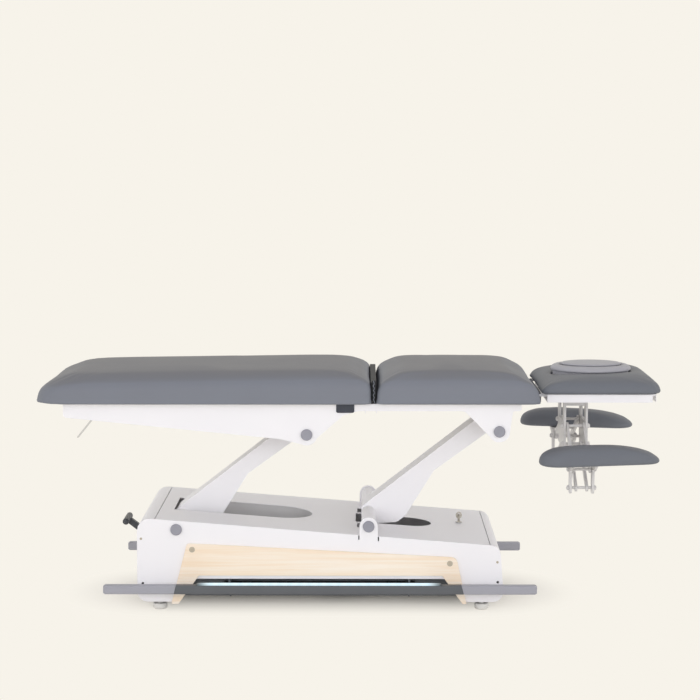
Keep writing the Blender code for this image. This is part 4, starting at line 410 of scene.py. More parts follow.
# %% [markdown]
# Making pieces.
# Most added pieces are loops of points with faces between them: a turned profile, a wire, a
# strip. Blender's ready shapes with modifiers could make them too, but loops give each rim and
# dish its own points, with enough sides to stay round close up. A helper closes the loops to a
# mesh, and another gives a piece its finish and lets it ride on the body that carries it.


# %% Helpers for pieces
def add_piece(name, mesh, body, finish, replaces=()):
    """A piece in the scene with its finish, on its body."""
    piece = bpy.data.objects.new(name, mesh)
    scene.collection.objects.link(piece)
    mesh.materials.clear()
    mesh.materials.append(finishes[finish])
    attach(piece, body)
    if replaces:
        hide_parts(*replaces)
    return piece


def circle(sides):
    """Angles round a full turn."""
    return [math.tau * i / sides for i in range(sides)]


def bridge(solid, loops):
    """Faces between each loop of points and the next."""
    for first, second in zip(loops, loops[1:]):
        for i in range(len(first)):
            solid.faces.new((first[i - 1], first[i], second[i], second[i - 1]))


def skinned(solid, loops):
    """Faces between loops, and one face over each end."""
    solid.faces.new(loops[0])
    solid.faces.new(loops[-1])
    bridge(solid, loops)


def to_mesh(solid, name, smooth=True, sharp=None):
    """The finished mesh, faces outwards; edges over the angle in degrees stay sharp."""
    bmesh.ops.recalc_face_normals(solid, faces=solid.faces)
    mesh = bpy.data.meshes.new(name)
    solid.to_mesh(mesh)
    solid.free()
    if smooth:
        mesh.shade_smooth()
    if sharp:
        mesh.set_sharp_from_angle(angle=math.radians(sharp))
    return mesh


def spun(profile, axis, centre, sides=64):
    """A closed turned mesh about a line along Y or Z through a 3-D centre."""
    solid = bmesh.new()
    around = Matrix.Rotation(-math.pi / 2, 4, "X") if axis == "Y" else Matrix()
    place = Matrix.Translation(centre) @ around
    turns = circle(sides)
    rings = []
    for radius, along in profile:
        spots = [Vector((radius * math.cos(t), radius * math.sin(t), along)) for t in turns]
        rings.append([solid.verts.new(place @ spot) for spot in spots])
    skinned(solid, rings)
    return to_mesh(solid, "spun", sharp=40)


def mirrored(profile):
    """A profile for both ends of a turned piece, from the profile of its far end."""
    return [(radius, -along) for radius, along in profile] + list(reversed(profile))


def boxed(low, high, edge=0.001):
    """A block with rounded edges."""
    solid = bmesh.new()
    bmesh.ops.create_cube(solid, size=1.0)
    size = [b - a for a, b in zip(low, high)]
    bmesh.ops.scale(solid, vec=size, verts=solid.verts)
    centre = [(a + b) / 2 for a, b in zip(low, high)]
    bmesh.ops.translate(solid, vec=centre, verts=solid.verts)
    rounding = {"offset": edge, "segments": 3, "profile": 0.5, "affect": "EDGES"}
    bmesh.ops.bevel(solid, geom=solid.edges[:], **rounding)
    return to_mesh(solid, "boxed", sharp=40)


def middle(node):
    """The middle and the size of a node's box."""
    low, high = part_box(node)
    return (low + high) / 2, high - low


print("length of the near foot bar:", round(middle("foot_bar_near")[1].x, 3))

# %% [markdown]
# Pivot shafts, feet and wheels.
# Each pivot ends in a moulded grey cap with a rounded rim and a shallow dish. The feet are pale
# rubber pucks with a ground-off rim. The transport wheels have a rounded tyre and a dished hub on
# a bolt. A bevelled cylinder has no dish, so each one is turned from a profile of (radius,
# height) steps.

# %% Shafts
CAP_RIM, CAP_DEEP = 0.019, 0.0076
for node, body in (
    ("lower_shaft_left", "base"), ("lower_shaft_right", "base"),
    ("upper_shaft_left", "upper_frame"), ("upper_shaft_right", "upper_frame"),
):
    centre, size = middle(node)
    reach = size.y / 2
    cap = [(0.004, reach - 0.0012), (0.0120, reach - 0.0010), (0.0145, reach), (0.0165, reach)]
    cap += [(0.0184, reach - 0.0012), (CAP_RIM, reach - 0.003), (CAP_RIM, reach - CAP_DEEP)]
    cap += [(0.0125, reach - CAP_DEEP)]
    shaft = spun(mirrored(cap), "Y", centre)
    add_piece(f"{node}_turned", shaft, body, "grey_nylon_cap", [node])

# %% Feet
for end in ("left", "right"):
    for side in ("near", "far"):
        node = f"foot_{side}_{end}"
        low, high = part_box(node)
        centre = Vector(((low.x + high.x) / 2, (low.y + high.y) / 2, 0.0))
        puck = [(0.012, 0.0005), (0.0185, 0.0), (0.0205, 0.0010), (0.0235, 0.0045)]
        puck += [(0.024, 0.007), (0.024, 0.015), (0.0232, 0.0185), (0.0215, 0.020)]
        puck += [(0.0085, 0.020), (0.008, 0.021), (0.008, high.z)]
        foot = spun(puck, "Z", centre)
        add_piece(f"{node}_puck", foot, "base", "pale_rubber", [node])

# %% Wheels
tyre = [(0.005, 0.1759), (0.005, 0.1695), (0.012, 0.1695), (0.013, 0.1670), (0.024, 0.1655)]
tyre += [(0.0265, 0.1690), (0.0340, 0.1692), (0.0375, 0.1680), (0.0396, 0.1640)]
tyre += [(0.0400, 0.1545), (0.0396, 0.1450), (0.0375, 0.1410), (0.0340, 0.1398)]
tyre += [(0.0265, 0.1400), (0.024, 0.1435), (0.013, 0.1420), (0.005, 0.1400)]
for end in ("left", "right"):
    node = f"wheelset_{end}"
    wheels = spun(mirrored(tyre), "Y", middle(node)[0], 56)
    add_piece(f"{node}_turned", wheels, node, "dark_rubber", [node])

# %% [markdown]
# Cushions.
# Foam on a board, covered in stretched vinyl: firm, crowned, with soft corners and a slight swell
# between them. A rounded block looks too hard and sculpting by hand is slow, so a cloth
# simulation makes it: the plain form is remeshed into even squares, drawn in a little, and blown
# up with a small pressure while its underside is held, as the staples hold it. The movement of
# each point is capped, so that the cushion stays in the space of its solid.


# %% Upholstery by simulation
WELD_WITHIN, EDGE_ROUNDS, RELAX_ROUNDS = 0.0001, 6, 3


def remeshed(node, voxel):
    """A copy of a node's mesh in even squares, with its edges smoothed."""
    copy = bpy.data.objects.new("remesh_work", nodes[node].data.copy())
    scene.collection.objects.link(copy)
    weld = copy.modifiers.new("Weld", "WELD")
    weld.merge_threshold = WELD_WITHIN
    cells = copy.modifiers.new("Remesh", "REMESH")
    cells.mode = "VOXEL"
    cells.voxel_size = voxel
    smooth = copy.modifiers.new("Smooth", "SMOOTH")
    smooth.iterations = EDGE_ROUNDS
    graph = bpy.context.evaluated_depsgraph_get()
    mesh = bpy.data.meshes.new_from_object(copy.evaluated_get(graph))
    bpy.data.objects.remove(copy)
    return mesh


STAPLED, HOLD_FADE, DRAWN_IN, MOST_MOVE = 0.004, 0.012, 0.0025, 0.006
PRESSURE, CLOTH_STEPS = 4.0, 20


def inflated(mesh, hold_below):
    """Blows up a closed skin by cloth simulation, with points below a height held."""
    work = bpy.data.objects.new("cloth_work", mesh)
    scene.collection.objects.link(work)
    start = [v.co.copy() for v in mesh.vertices]
    held = work.vertex_groups.new(name="stapled")
    for vertex, normal in zip(mesh.vertices, [v.normal.copy() for v in mesh.vertices]):
        share = min(max((vertex.co.z - hold_below) / HOLD_FADE, 0.0), 1.0)
        held.add([vertex.index], 1.0 - share, "REPLACE")
        vertex.co -= normal * DRAWN_IN * share
    cloth = work.modifiers.new("Cloth", "CLOTH")
    settings = cloth.settings
    settings.quality = 4
    settings.mass = 0.3
    settings.tension_stiffness = 12
    settings.compression_stiffness = 12
    settings.bending_stiffness = 0.6
    settings.use_pressure = True
    settings.uniform_pressure_force = PRESSURE
    settings.vertex_group_mass = "stapled"
    settings.effector_weights.gravity = 0.0
    cloth.point_cache.frame_start = 1
    cloth.point_cache.frame_end = CLOTH_STEPS
    for step in range(1, CLOTH_STEPS + 1):
        scene.frame_set(step)
    graph = bpy.context.evaluated_depsgraph_get()
    blown = bpy.data.meshes.new_from_object(work.evaluated_get(graph))
    for vertex, before in zip(blown.vertices, start):
        moved = vertex.co - before
        if moved.length > MOST_MOVE:
            vertex.co = before + moved * MOST_MOVE / moved.length
    bpy.data.objects.remove(work)
    scene.frame_set(1)
    return blown


def relaxed(mesh, rounds):
    """Evens out small ripples by averaging neighbours."""
    solid = bmesh.new()
    solid.from_mesh(mesh)
    every = {"use_axis_x": True, "use_axis_y": True, "use_axis_z": True}
    for _ in range(rounds):
        bmesh.ops.smooth_vert(solid, verts=solid.verts, factor=0.5, **every)
    solid.to_mesh(mesh)
    solid.free()
    mesh.shade_smooth()


def fitted(mesh, low, high):
    """Stretches a skin back to its solid's box, since smoothing draws it in by some millimetres."""
    for axis in range(3):
        values = [v.co[axis] for v in mesh.vertices]
        least, most = min(values), max(values)
        grow = (high[axis] - low[axis]) / (most - least)
        for vertex in mesh.vertices:
            vertex.co[axis] = low[axis] + (vertex.co[axis] - least) * grow


# %% [markdown]
# Crown and pleats.
# The simulation leaves the top nearly level across. On the real table the foam falls away towards
# the long sides, and the cover is drawn under the ends next to the gap in small pleats. More
# pressure would only round everything, so both are added to the skins by moving their points.


# %% Cushions and pads
def crowned(mesh, low, high, depth, power):
    """Lets the top fall away towards both long sides, as foam does under a stretched cover."""
    half = (high.y - low.y) / 2
    for vertex in mesh.vertices:
        across = abs(vertex.co.y - low.y - half) / half
        rise = (vertex.co.z - low.z) / (high.z - low.z)
        vertex.co.z -= depth * across ** power * rise ** 2


PLEAT_REACH, PLEAT_DEPTH, PLEATS_ACROSS, PLEATS_UP, PLEATS_VARY = 0.030, 0.0030, 22, 30, 9


def gathered(mesh, low, high, ends):
    """Small pleats where the cover is drawn under at the ends: ripples that fade upwards."""
    for vertex in mesh.vertices:
        for end in ends:
            edge = low.x if end < 0 else high.x
            near = max(0.0, 1.0 - abs(vertex.co.x - edge) / PLEAT_REACH)
            rise = (vertex.co.z - low.z) / (high.z - low.z)
            spot = (vertex.co.y * PLEATS_ACROSS, vertex.co.z * PLEATS_UP, edge * PLEATS_VARY)
            wave = noise.noise(Vector(spot))
            vertex.co.x -= end * near * (1.0 - 0.6 * rise) * PLEAT_DEPTH * (wave + 0.35)


# Body, finish, square size, depth and power of the crown, ends with pleats
cushions = {
    "long_cushion": ("leg_section", "grey_vinyl", 0.007, (0.012, 5.0), (1,)),
    "mid_cushion": ("upper_frame", "grey_vinyl", 0.007, (0.012, 5.0), (-1,)),
    "head_cushion": ("head_section", "head_vinyl", 0.006, (0.010, 2.5), ()),
    "armrest_pad_near": ("rest_pad_near", "head_vinyl", 0.005, (0.0, 1.0), ()),
    "armrest_pad_far": ("rest_pad_far", "head_vinyl", 0.005, (0.0, 1.0), ()),
}
for node, (body, finish, voxel, crown, ends) in cushions.items():
    low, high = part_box(node)
    skin = remeshed(node, voxel)
    skin = inflated(skin, low.z + STAPLED)
    relaxed(skin, RELAX_ROUNDS)
    fitted(skin, low, high)
    crowned(skin, low, high, *crown)
    gathered(skin, low, high, ends)
    piece = add_piece(f"{node}_upholstery", skin, body, finish, [node])
    piece.modifiers.new("Subdivision", "SUBSURF").render_levels = 1
    print(node, "skin points:", len(skin.vertices))

# %% [markdown]
# Gussets in the gap.
# Between the leg section and the seat a narrow pleated gusset closes each end of the gap, so that
# nothing falls through. It is a thin folded strip of the same vinyl, wavy along its height, sewn
# to a lining cloth behind it that fills the gap and also covers the hinge bar. The lining is near
# black: painted shade for the deep gap between the cushions. A simulated cloth would have to be
# run at each tilt, so plain strips are drawn instead.


# %% Pleated gussets
STRIP_ROWS, STRIP_SIDES = 45, 12


def cloth_strip(at, thick, ends, foot, top, wave, flare=0.0):
    """An upright strip of cloth with rounded edges that waves and may widen along its height."""
    solid = bmesh.new()
    rows = []
    for step in range(STRIP_ROWS):
        share = step / (STRIP_ROWS - 1)
        z = foot + (top - foot) * share
        bend = wave * (math.sin(share * 31) + 0.5 * math.sin(share * 13 + 1))
        rounding = math.sqrt(max(0.08, 1 - (2 * share - 1) ** 8))
        half = (thick / 2 + flare * min(1.0, 3 * share)) * rounding
        row = []
        for turn in circle(STRIP_SIDES):
            y = (ends[0] + ends[1]) / 2 + (ends[1] - ends[0]) / 2 * math.sin(turn)
            row.append(solid.verts.new((at + bend + half * math.cos(turn), y, z)))
        rows.append(row)
    skinned(solid, rows)
    return to_mesh(solid, "cloth_strip")


leg_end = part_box("long_cushion")[1].x
seat_low, seat_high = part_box("mid_cushion")
gap_x = (leg_end + seat_low.x) / 2
PLEAT, PLEAT_WAVE, LINING, LINING_FLARE = 0.0036, 0.0016, 0.0118, 0.003
FOLD_IN, LINING_IN, LINING_END, GUSSET_RISE = 0.008, 0.030, 0.034, 0.004
foot_z = seat_low.z + GUSSET_RISE
# Side, direction, depth below the seat's top, share of the height kept at full tilt
for side, sign, sunk, keep in (("near", -1, 0.0370, 0.74), ("far", 1, 0.0490, 0.90)):
    edge = sign * seat_high.y
    top_z = seat_high.z - sunk
    fold, inner, back = (edge - sign * depth for depth in (FOLD_IN, LINING_IN, LINING_END))
    pleat = cloth_strip(gap_x, PLEAT, (fold, inner), foot_z, top_z, PLEAT_WAVE)
    # the lining is near black: painted shade for the deep gap
    cloth = cloth_strip(gap_x, LINING, (inner, back), foot_z, top_z, 0.0, LINING_FLARE)
    for name, mesh, finish in (("gusset", pleat, "grey_vinyl"), ("lining", cloth, "dark_rubber")):
        piece = add_piece(f"gap_{name}_{side}", mesh, "upper_frame", finish)
        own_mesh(piece)
print("gussets at x", round(gap_x, 4))

# %% Lining over the hinge bar
LYING_RISE, LYING_THICK, LYING_WAVE = 0.0030, 0.0024, 0.0003
UNDER_LEG, UNDER_SEAT = 0.0050, 0.0025
hinge_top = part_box("section_hinge")[1].z
floor_z, floor_end = hinge_top + LYING_RISE, seat_high.y - LINING_END
width = (leg_end - UNDER_LEG, seat_low.x + UNDER_SEAT)
lying = cloth_strip(floor_z, LYING_THICK, width, -floor_end, floor_end, LYING_WAVE)
lay_down = Matrix(((0, 1, 0, 0), (0, 0, 1, 0), (1, 0, 0, 0), (0, 0, 0, 1)))
lying.transform(lay_down)
# near black: painted shade in the gap over the hinge bar
piece = add_piece("gap_lining_middle", lying, "upper_frame", "dark_rubber")
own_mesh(piece)
print("lining over the hinge bar at z", round(floor_z, 4))

# %% [markdown]
# Face ring and plug.
# Round the face opening lies a padded ring in paler vinyl, and a loose plug closes it. Both are
# small, full and tight, so they are drawn as smooth ovals of points rather than simulated. The
# ring is a roll with its highest line near its outer edge, on a tube through the head frame. The
# plug is a flat cushion with a drawn-in seam under its edge, which shows as a dark crease.


# %% Face ring
def oval_skin(levels, closed, points=96):
    """A skin over ovals: (half length, half width, height) steps about the face opening."""
    solid = bmesh.new()
    turns = circle(points)
    loops = []
    for half_length, half_width, height in levels:
        spots = [(face.x + half_length * math.cos(t), half_width * math.sin(t)) for t in turns]
        loops.append([solid.verts.new((*spot, height)) for spot in spots])
    if closed:
        bridge(solid, loops + loops[:1])
    else:
        skinned(solid, loops)
    return to_mesh(solid, "oval_skin", sharp=60)


def inset(amount, drop):
    """An oval inside the ring's outline, below its top."""
    return half_x - amount, half_y - amount, top - drop


face, ring_size = middle("face_ring")
ring_low, ring_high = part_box("face_ring")
half_x, half_y, top = ring_size.x / 2, ring_size.y / 2, ring_high.z
TUBE_X, TUBE_Y, TUBE_WALL, SEAT_RISE, DECK_GAP = 0.095, 0.070, 0.008, 0.0445, 0.0005
SPREAD = 0.010  # the ring lies wider across the table than its solid, over the rounded cushion
SPREAD_FROM, SPREAD_OVER, FOOT_IN, INNER_EDGE = 0.006, 0.034, 0.002, 0.0284
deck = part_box("head_cushion")[0].z + DECK_GAP
bore_x, bore_y, seat_z = TUBE_X - TUBE_WALL, TUBE_Y - TUBE_WALL, deck + SEAT_RISE

roll = [(FOOT_IN, 0.0260), (-0.0050, 0.0226), (-0.0058, 0.0195), (-0.0046, 0.0160)]
roll += [(-0.0015, 0.0118), (0.0030, 0.0084), (0.0085, 0.0060), (0.0140, 0.0051)]
roll += [(0.0195, 0.0057), (0.0240, 0.0078), (0.0272, 0.0112), (INNER_EDGE, 0.0150)]
steps = [(bore_x, bore_y, ring_low.z), (TUBE_X, TUBE_Y, ring_low.z), (TUBE_X, TUBE_Y, deck)]
steps += [(half_x - FOOT_IN, half_y - FOOT_IN, deck)]
for amount, drop in roll:
    length, width, height = inset(amount, drop)
    wider = SPREAD * max(0.0, 1 - (amount + SPREAD_FROM) / SPREAD_OVER)
    steps.append((length, width + wider, height))
steps += [(half_x - INNER_EDGE, half_y - INNER_EDGE, seat_z), (bore_x, bore_y, seat_z)]
skin = oval_skin(steps, True)
ring = add_piece(
    "face_ring_roll", skin, "head_section", "pale_vinyl", ["face_ring"]
)
print("face ring", tuple(round(v, 3) for v in ring_size))

# %% Face plug
PLUG_PLAY, CROWN_IN = 0.0006, 0.0410
stem_x, stem_y = bore_x - PLUG_PLAY, bore_y - PLUG_PLAY
stem_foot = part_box("face_plug")[0].z
levels = [(stem_x * 0.7, stem_y * 0.7, stem_foot)]
levels += [(stem_x * 0.95, stem_y * 0.95, stem_foot + 0.001)]
levels += [(stem_x, stem_y, stem_foot + 0.006), (stem_x, stem_y, seat_z + PLUG_PLAY)]
edge = [(0.0303, top - seat_z - 0.0008), (0.0303, 0.0120), (0.0318, 0.0100), (0.0352, 0.0090)]
edge += [(0.0352, 0.0058), (0.0315, 0.0050), (0.0300, 0.0036), (0.0298, 0.0022)]
edge += [(0.0312, 0.0008), (0.0345, -0.0004), (CROWN_IN, -0.0013)]
levels += [inset(*step) for step in edge]
for share, lift in ((0.75, 0.0021), (0.45, 0.0028), (0.15, 0.0031)):
    levels.append(((half_x - CROWN_IN) * share, (half_y - CROWN_IN) * share, top + lift))
skin = oval_skin(levels, False)
plug = add_piece(
    "face_plug_pad", skin, "face_plug", "pale_vinyl", ["face_plug"]
)
print("face plug levels:", len(levels))

# %% [markdown]
# Key.
# A flat nickel key with a pierced round bow stands in the lock, and a split ring of two turns
# hangs from the bow. Its blade goes into a round plug with a slot. Cutting the hole with a
# Boolean leaves ragged faces, so the bow is four loops of points, joined round its rim and round
# its hole.

# %% Key
BOW_RADIUS, HOLE_RADIUS, HOLE_RISE, BOW_HALF, BOW_TALL = 0.011, 0.0035, 0.004, 0.00125, 1.08
BLADE_X, BLADE_Y, BLADE_IN, BLADE_EDGE, BOW_DROP = 0.0038, 0.0012, 0.006, 0.0004, 0.012
low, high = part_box("key")
key_x, key_y = (low.x + high.x) / 2, (low.y + high.y) / 2
face_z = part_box("key_lock")[1].z
bow_z = high.z - BOW_DROP
solid = bmesh.new()
rings = []
for offset in (-BOW_HALF, BOW_HALF):
    for radius, rise in ((BOW_RADIUS, 0.0), (HOLE_RADIUS, HOLE_RISE)):
        loop = []
        for t in circle(40):
            z = bow_z + (rise + radius * BOW_TALL * math.sin(t))
            loop.append(solid.verts.new((key_x + radius * math.cos(t), key_y + offset, z)))
        rings.append(loop)
back_out, back_in, front_out, front_in = rings
bridge(solid, [back_out, back_in, front_in, front_out, back_out])
bow = to_mesh(solid, "key_bow", smooth=False)
add_piece("key_bow", bow, "key", "nickel_key", ["key"])
blade_foot = (key_x - BLADE_X, key_y - BLADE_Y, face_z - BLADE_IN)
blade_top = (key_x + BLADE_X, key_y + BLADE_Y, bow_z - BLADE_IN)
blade = boxed(blade_foot, blade_top, BLADE_EDGE)
add_piece("key_blade", blade, "key", "nickel_key")
core = [(0.003, face_z - 0.012), (0.0064, face_z - 0.0115), (0.0064, face_z - 0.0006)]
core += [(0.0058, face_z), (0.002, face_z)]
key_plug = spun(core, "Z", (key_x, key_y, 0.0), 40)
add_piece("key_plug", key_plug, "key", "nickel_key")
print("key at", round(key_x, 3), round(key_y, 3))

# %% Split ring
RING_RADIUS, WIRE, RING_TURNS, RING_STEPS, WIRE_SIDES = 0.0105, 0.0009, 2, 96, 10
TURN_GAP = 2.1  # distance between the turns, in wire radii
HOLE_FOOT, HANG_SLACK = 0.0030, 0.002
hang = Vector((key_x, key_y, bow_z + HOLE_RISE - HOLE_FOOT - RING_RADIUS + HANG_SLACK))
ring_axis = Vector((0.94, -0.35, 0.0))
solid = bmesh.new()
loops = []
for step in range(RING_STEPS + 1):
    turn = math.tau * RING_TURNS * step / RING_STEPS
    out = Vector((0.35 * math.sin(turn), 0.94 * math.sin(turn), math.cos(turn)))
    aside = ring_axis * WIRE * TURN_GAP * (step / RING_STEPS - 0.5) * RING_TURNS
    core_line = hang + out * RING_RADIUS + aside
    round_wire = [out * math.cos(t) + ring_axis * math.sin(t) for t in circle(WIRE_SIDES)]
    loops.append([solid.verts.new(core_line + WIRE * spot) for spot in round_wire])
skinned(solid, loops)
add_piece("key_split_ring", to_mesh(solid, "split_ring"), "key", "nickel_key")
print("split ring steps:", len(loops))

# %% [markdown]
# Painted light strips and slot rim.
# A thin strip glows along the top of each foot bar's sleeve, under the wooden panel: painted light
# for a lamp's light falling there. The long slot for the left arm has a folded rim that hides the
# inside of the housing, in a greyer silver coat than the cover: painted shade for the inside of the
# slot. A solidified curve could make the rim, but its ends would not follow the cover's slope, so
# it is swept along the slot's outline section by section.

# %% Painted light strips
STRIP_MARGIN, STRIP_SUNK, STRIP_PROUD, STRIP_EDGE = 0.0025, 0.0004, 0.0042, 0.0014
for side in ("near", "far"):
    low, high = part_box(f"foot_bar_sleeve_{side}")
    strip_foot = (strip_start, low.y + STRIP_MARGIN, high.z - STRIP_SUNK)
    strip_top = (strip_end, high.y - STRIP_MARGIN, high.z + STRIP_PROUD)
    # each strip glows as painted light, where the hidden lamp's light falls on the sleeve's top
    lit_sleeve_top = boxed(strip_foot, strip_top, STRIP_EDGE)
    add_piece(f"painted_light_strip_{side}", lit_sleeve_top, f"foot_bar_{side}", "painted_lamp_light")
print("light strips from", round(strip_start, 3), "to", round(strip_end, 3))

# %% Slot rim
SLOT_START, SLOT_STRAIGHT, SLOT_HALF = -0.530, -0.2455, 0.1162
RIM_DEPTH, RIM_SHEET, COVER_SHEET, RIM_BELOW = 0.042, 0.0015, 0.0025, 0.0029
cover_low, cover_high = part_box("top_cover")
slope = (cover_high.z - cover_low.z - COVER_SHEET) / (cover_high.x - cover_low.x)
run = SLOT_STRAIGHT - SLOT_START
outline = [(SLOT_START + run * i / 8, -SLOT_HALF, 0.0, -1.0) for i in range(9)]
for i in range(1, 24):
    turn = math.radians(-90 + 180 * i / 24)
    across, along = math.sin(turn), math.cos(turn)
    outline.append((SLOT_STRAIGHT + SLOT_HALF * along, SLOT_HALF * across, along, across))
outline += [(SLOT_STRAIGHT - run * i / 8, SLOT_HALF, 0.0, 1.0) for i in range(9)]
solid = bmesh.new()
sections = []
for x, y, out_x, out_y in outline:
    under = cover_high.z - slope * (x - cover_low.x) - RIM_BELOW
    far_x, far_y = x + out_x * RIM_SHEET, y + out_y * RIM_SHEET
    upper = [(x, y, under), (far_x, far_y, under)]
    lower = [(far_x, far_y, under - RIM_DEPTH), (x, y, under - RIM_DEPTH)]
    sections.append([solid.verts.new(corner) for corner in upper + lower])
skinned(solid, sections)
rim = to_mesh(solid, "slot_rim", sharp=40)
# the rim takes the greyer silver coat instead of the cover's white: painted shade inside the slot
add_piece("slot_rim_left", rim, "base", "silver_powder_coat")
print("slot rim sections:", len(sections))

# %% [markdown]
# Screws.
# Large flat screws with pale covers hold the wooden panels, and small ones hold the end covers,
# pale above and dark below. A texture would stay flat from the side, so each is a pan head with a
# hollow hexagon, from loops of points.


# %% Screws
def flat_screw(radius, height, sides=36):
    """A pan head with a hollow hexagon."""
    solid = bmesh.new()
    turns = circle(sides)
    loops = []
    for size, along in ((radius, 0.0), (radius, height * 0.6), (radius * 0.86, height)):
        spots = [(size * math.cos(t), size * math.sin(t), along) for t in turns]
        loops.append([solid.verts.new(spot) for spot in spots])
    for size, along in ((radius * 0.42, height), (radius * 0.40, height * 0.3)):
        flats = [size / math.cos((t % (math.pi / 3)) - math.pi / 6) for t in turns]
        spots = [(f * math.cos(t), f * math.sin(t), along) for f, t in zip(flats, turns)]
        loops.append([solid.verts.new(spot) for spot in spots])
    skinned(solid, loops)
    return to_mesh(solid, "screw", smooth=False)


PANEL_SCREWS = ((-0.5225, 0.209), (0.3345, 0.163))
COVER_SCREWS = ((-0.693, 0.244), (-0.688, 0.0935), (0.493, 0.166), (0.4945, 0.0985))
PANEL_HEAD, COVER_HEAD, HEAD_SUNK, PALE_ABOVE = (0.0095, 0.0016), (0.0042, 0.0010), 0.0001, 0.15
wood_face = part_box("wood_panel_far")[1].y - HEAD_SUNK
panel_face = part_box("side_panel_far")[1].y
screws = [(x, z, wood_face, PANEL_HEAD, "wood_cap") for x, z in PANEL_SCREWS]
for x, z in COVER_SCREWS:
    finish = "wood_cap" if z > PALE_ABOVE else "dark_rubber"
    screws.append((x, z, panel_face, COVER_HEAD, finish))
for side, sign in (("near", -1), ("far", 1)):
    turn = Matrix.Rotation(-sign * math.pi / 2, 4, "X")
    for index, (x, z, y, head, finish) in enumerate(screws):
        mesh = flat_screw(*head)
        mesh.transform(Matrix.Translation((x, sign * y, z)) @ turn)
        add_piece(f"screw_{side}_{index}", mesh, "base", finish)
print("screws on each side:", len(screws))

# %% [markdown]
# Tag.
# A small dark moulded tab hangs below the cushions' edge on the near side plate, square at the
# top and round at its lower corners. A block would have the wrong corners, so its outline is
# drawn, pulled out and rounded at the front. On this table it stays bare.

# %% Bare tag
TAG_LEFT, TAG_RIGHT, TAG_DROP, TAG_THICK, TAG_CORNER = -0.0435, 0.0165, 0.029, 0.0032, 0.006
TAG_BELOW, TAG_GAP, TAG_EDGE = 0.0006, 0.0003, 0.0009
plate_low, plate_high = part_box("side_plate_near")
tag_top, tag_back = plate_high.z - TAG_BELOW, plate_low.y - TAG_GAP
tag_front = tag_back - TAG_THICK
outline = [(TAG_LEFT, tag_top)]
for corner_x, start in ((TAG_LEFT + TAG_CORNER, 180), (TAG_RIGHT - TAG_CORNER, 270)):
    for step in range(7):
        turn = math.radians(start + 15 * step)
        spot_z = tag_top - TAG_DROP + TAG_CORNER + TAG_CORNER * math.sin(turn)
        outline.append((corner_x + TAG_CORNER * math.cos(turn), spot_z))
outline.append((TAG_RIGHT, tag_top))
solid = bmesh.new()
panel = solid.faces.new([solid.verts.new((x, tag_back, z)) for x, z in outline])
pulled = bmesh.ops.extrude_face_region(solid, geom=[panel])["geom"]
front_points = [g for g in pulled if isinstance(g, bmesh.types.BMVert)]
bmesh.ops.translate(solid, vec=(0, -TAG_THICK, 0), verts=front_points)
bmesh.ops.recalc_face_normals(solid, faces=solid.faces)
rim_edges = [e for e in solid.edges if all(abs(v.co.y - tag_front) < 1e-6 for v in e.verts)]
rounding = {"offset": TAG_EDGE, "segments": 3, "profile": 0.5, "affect": "EDGES"}
bmesh.ops.bevel(solid, geom=rim_edges, **rounding)
add_piece("bare_tag", to_mesh(solid, "tag", sharp=40), "upper_frame", "tag_plastic")
print("tag below z", round(tag_top, 4))

# %% [markdown]
# Floor.
# The photograph's ground is one warm off-white with only a soft, short shadow under the table. A
# plain lit floor would meet the background in a line. So the floor is a wide sheet in that
# colour: near the table it is partly a matt surface that takes the shadow, and further out it
# turns into an even glow of the same colour.


# %% Floor
def seen_rays(tree):
    """1 for rays that show the backdrop: from the camera, in gloss or through glass."""
    rays = add_node(tree, "ShaderNodeLightPath")
    direct = add_node(tree, MATH, {"operation": "MAXIMUM"}, i0=(rays, 0), i1=(rays, 3))
    return add_node(tree, MATH, {"operation": "MAXIMUM"}, i0=(direct, 0), i1=(rays, 6))


BACKGROUND, PAPER = "#F7F3EA", "#F4F0E7"
SHADOW_INSET, FADE_STARTS, FADE_ENDS = 0.12, 0.02, 0.42
floor_mesh = bpy.data.meshes.new("studio_floor")
corners = [(-40, -30, 0), (40, -30, 0), (40, 60, 0), (-40, 60, 0)]
floor_mesh.from_pydata(corners, [], [(0, 1, 2, 3)])
floor = bpy.data.objects.new("studio_floor", floor_mesh)
scene.collection.objects.link(floor)
housing, housing_size = middle("side_panel_near")
shadow_half = housing_size.x / 2 - SHADOW_INSET
paper = bpy.data.materials.new("studio_paper")
paper.use_nodes = True
tree = paper.node_tree
tree.nodes.clear()
place = add_node(tree, "ShaderNodeTexCoord")
spot = add_node(tree, SPLIT, None, Vector=(place, OBJECT))
shifted = add_node(tree, MATH, {"operation": "ADD"}, i0=(spot, 0), i1=-housing.x)
along = add_node(tree, MATH, {"operation": "ABSOLUTE"}, i0=(shifted, 0))
clipped = {"operation": "SUBTRACT", "use_clamp": True}
past = add_node(tree, MATH, clipped, i0=(along, 0), i1=shadow_half)
away = add_node(tree, "ShaderNodeCombineXYZ", None, X=(past, 0), Y=(spot, 1))
distance = add_node(tree, "ShaderNodeVectorMath", {"operation": "LENGTH"}, i0=(away, 0))
fade = add_node(tree, RANGE, SMOOTH, Value=(distance, 1), i1=FADE_STARTS, i2=FADE_ENDS)
matt = add_node(tree, "ShaderNodeBsdfDiffuse", None, Color=linear(PAPER))
glow = add_node(tree, "ShaderNodeEmission", None, Color=linear(BACKGROUND), Strength=1.0)
shown = (seen_rays(tree), 0)
seen = add_node(tree, MATH, {"operation": "MULTIPLY"}, i0=(fade, 0), i1=shown)
surface = add_node(tree, "ShaderNodeMixShader", None, i0=(seen, 0), i1=(matt, 0), i2=(glow, 0))
add_node(tree, "ShaderNodeOutputMaterial", None, i0=(surface, 0))
floor_mesh.materials.append(paper)
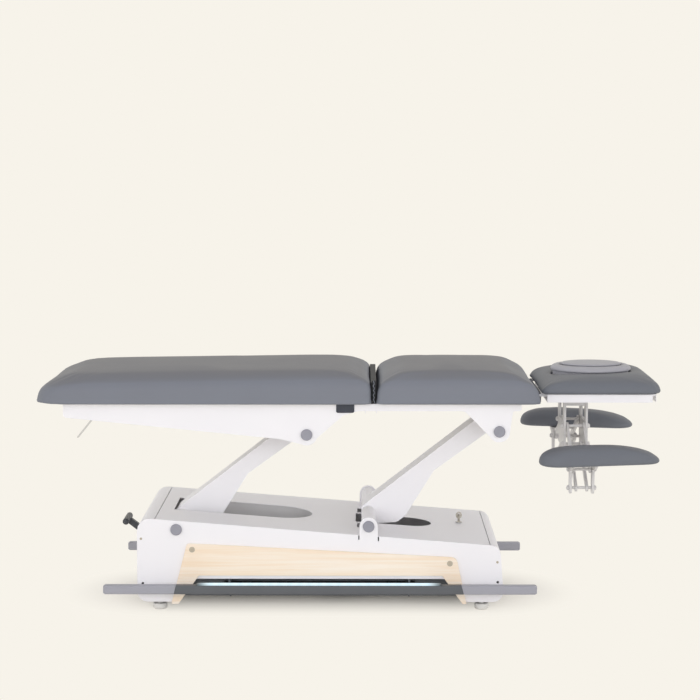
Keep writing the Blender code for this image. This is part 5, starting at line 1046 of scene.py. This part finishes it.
print("shadow reaches", round(shadow_half + FADE_ENDS, 3), "m from the housing's middle")

# %% [markdown]
# Walls and lamps.
# The studio is a ring of pale walls: brightest low down, so that light reaches in under the
# table, and dimmer overhead. Many lamps could do the same with more noise. Two soft lamps shape
# it a little, one from the front and one from above.

# %% Walls
LOW_EDGE, HIGH_EDGE, LOW_LEVEL, HIGH_LEVEL = 0.30, 0.78, 1.46, 0.40
world = bpy.data.worlds.new("studio")
scene.world = world
world.use_nodes = True
tree = world.node_tree
tree.nodes.clear()
place = add_node(tree, "ShaderNodeTexCoord")
height = add_node(tree, SPLIT, None, Vector=(place, 0))
dimming = {"i1": LOW_EDGE, "i2": HIGH_EDGE, "i3": LOW_LEVEL, "i4": HIGH_LEVEL}
level = add_node(tree, RANGE, None, Value=(height, 2), **dimming)
walls = add_node(tree, "ShaderNodeBackground", None, Color=linear("#FCFCFF"), Strength=(level, 0))
backdrop = add_node(tree, "ShaderNodeBackground", None, Color=linear(BACKGROUND), Strength=1.0)
shown = (seen_rays(tree), 0)
both = add_node(tree, "ShaderNodeMixShader", None, i0=shown, i1=(walls, 0), i2=(backdrop, 0))
add_node(tree, "ShaderNodeOutputWorld", None, i0=(both, 0))
print("walls:", LOW_LEVEL, "low down,", HIGH_LEVEL, "overhead")


# %% Lamps
def soft_lamp(name, place, aim, size, watts, colour):
    """A wide rectangular lamp at a place, turned to its aim and unseen by the camera."""
    data = bpy.data.lights.new(name, "AREA")
    data.shape = "RECTANGLE"
    data.size, data.size_y = size
    data.energy = watts
    data.color = linear(colour)[:3]
    lamp = bpy.data.objects.new(name, data)
    lamp.location = place
    lamp.rotation_euler = (Vector(aim) - Vector(place)).to_track_quat("-Z", "Y").to_euler()
    scene.collection.objects.link(lamp)
    lamp.visible_camera = False


soft_lamp("front_softbox", (0.0, -5.2, 1.5), (0.0, 0.0, 0.45), (5.0, 2.2), 42, "#F4F7FF")
soft_lamp("top_softbox", (0.0, 0.2, 3.4), (0.0, 0.0, 0.7), (4.0, 2.0), 5, "#FFFBF5")
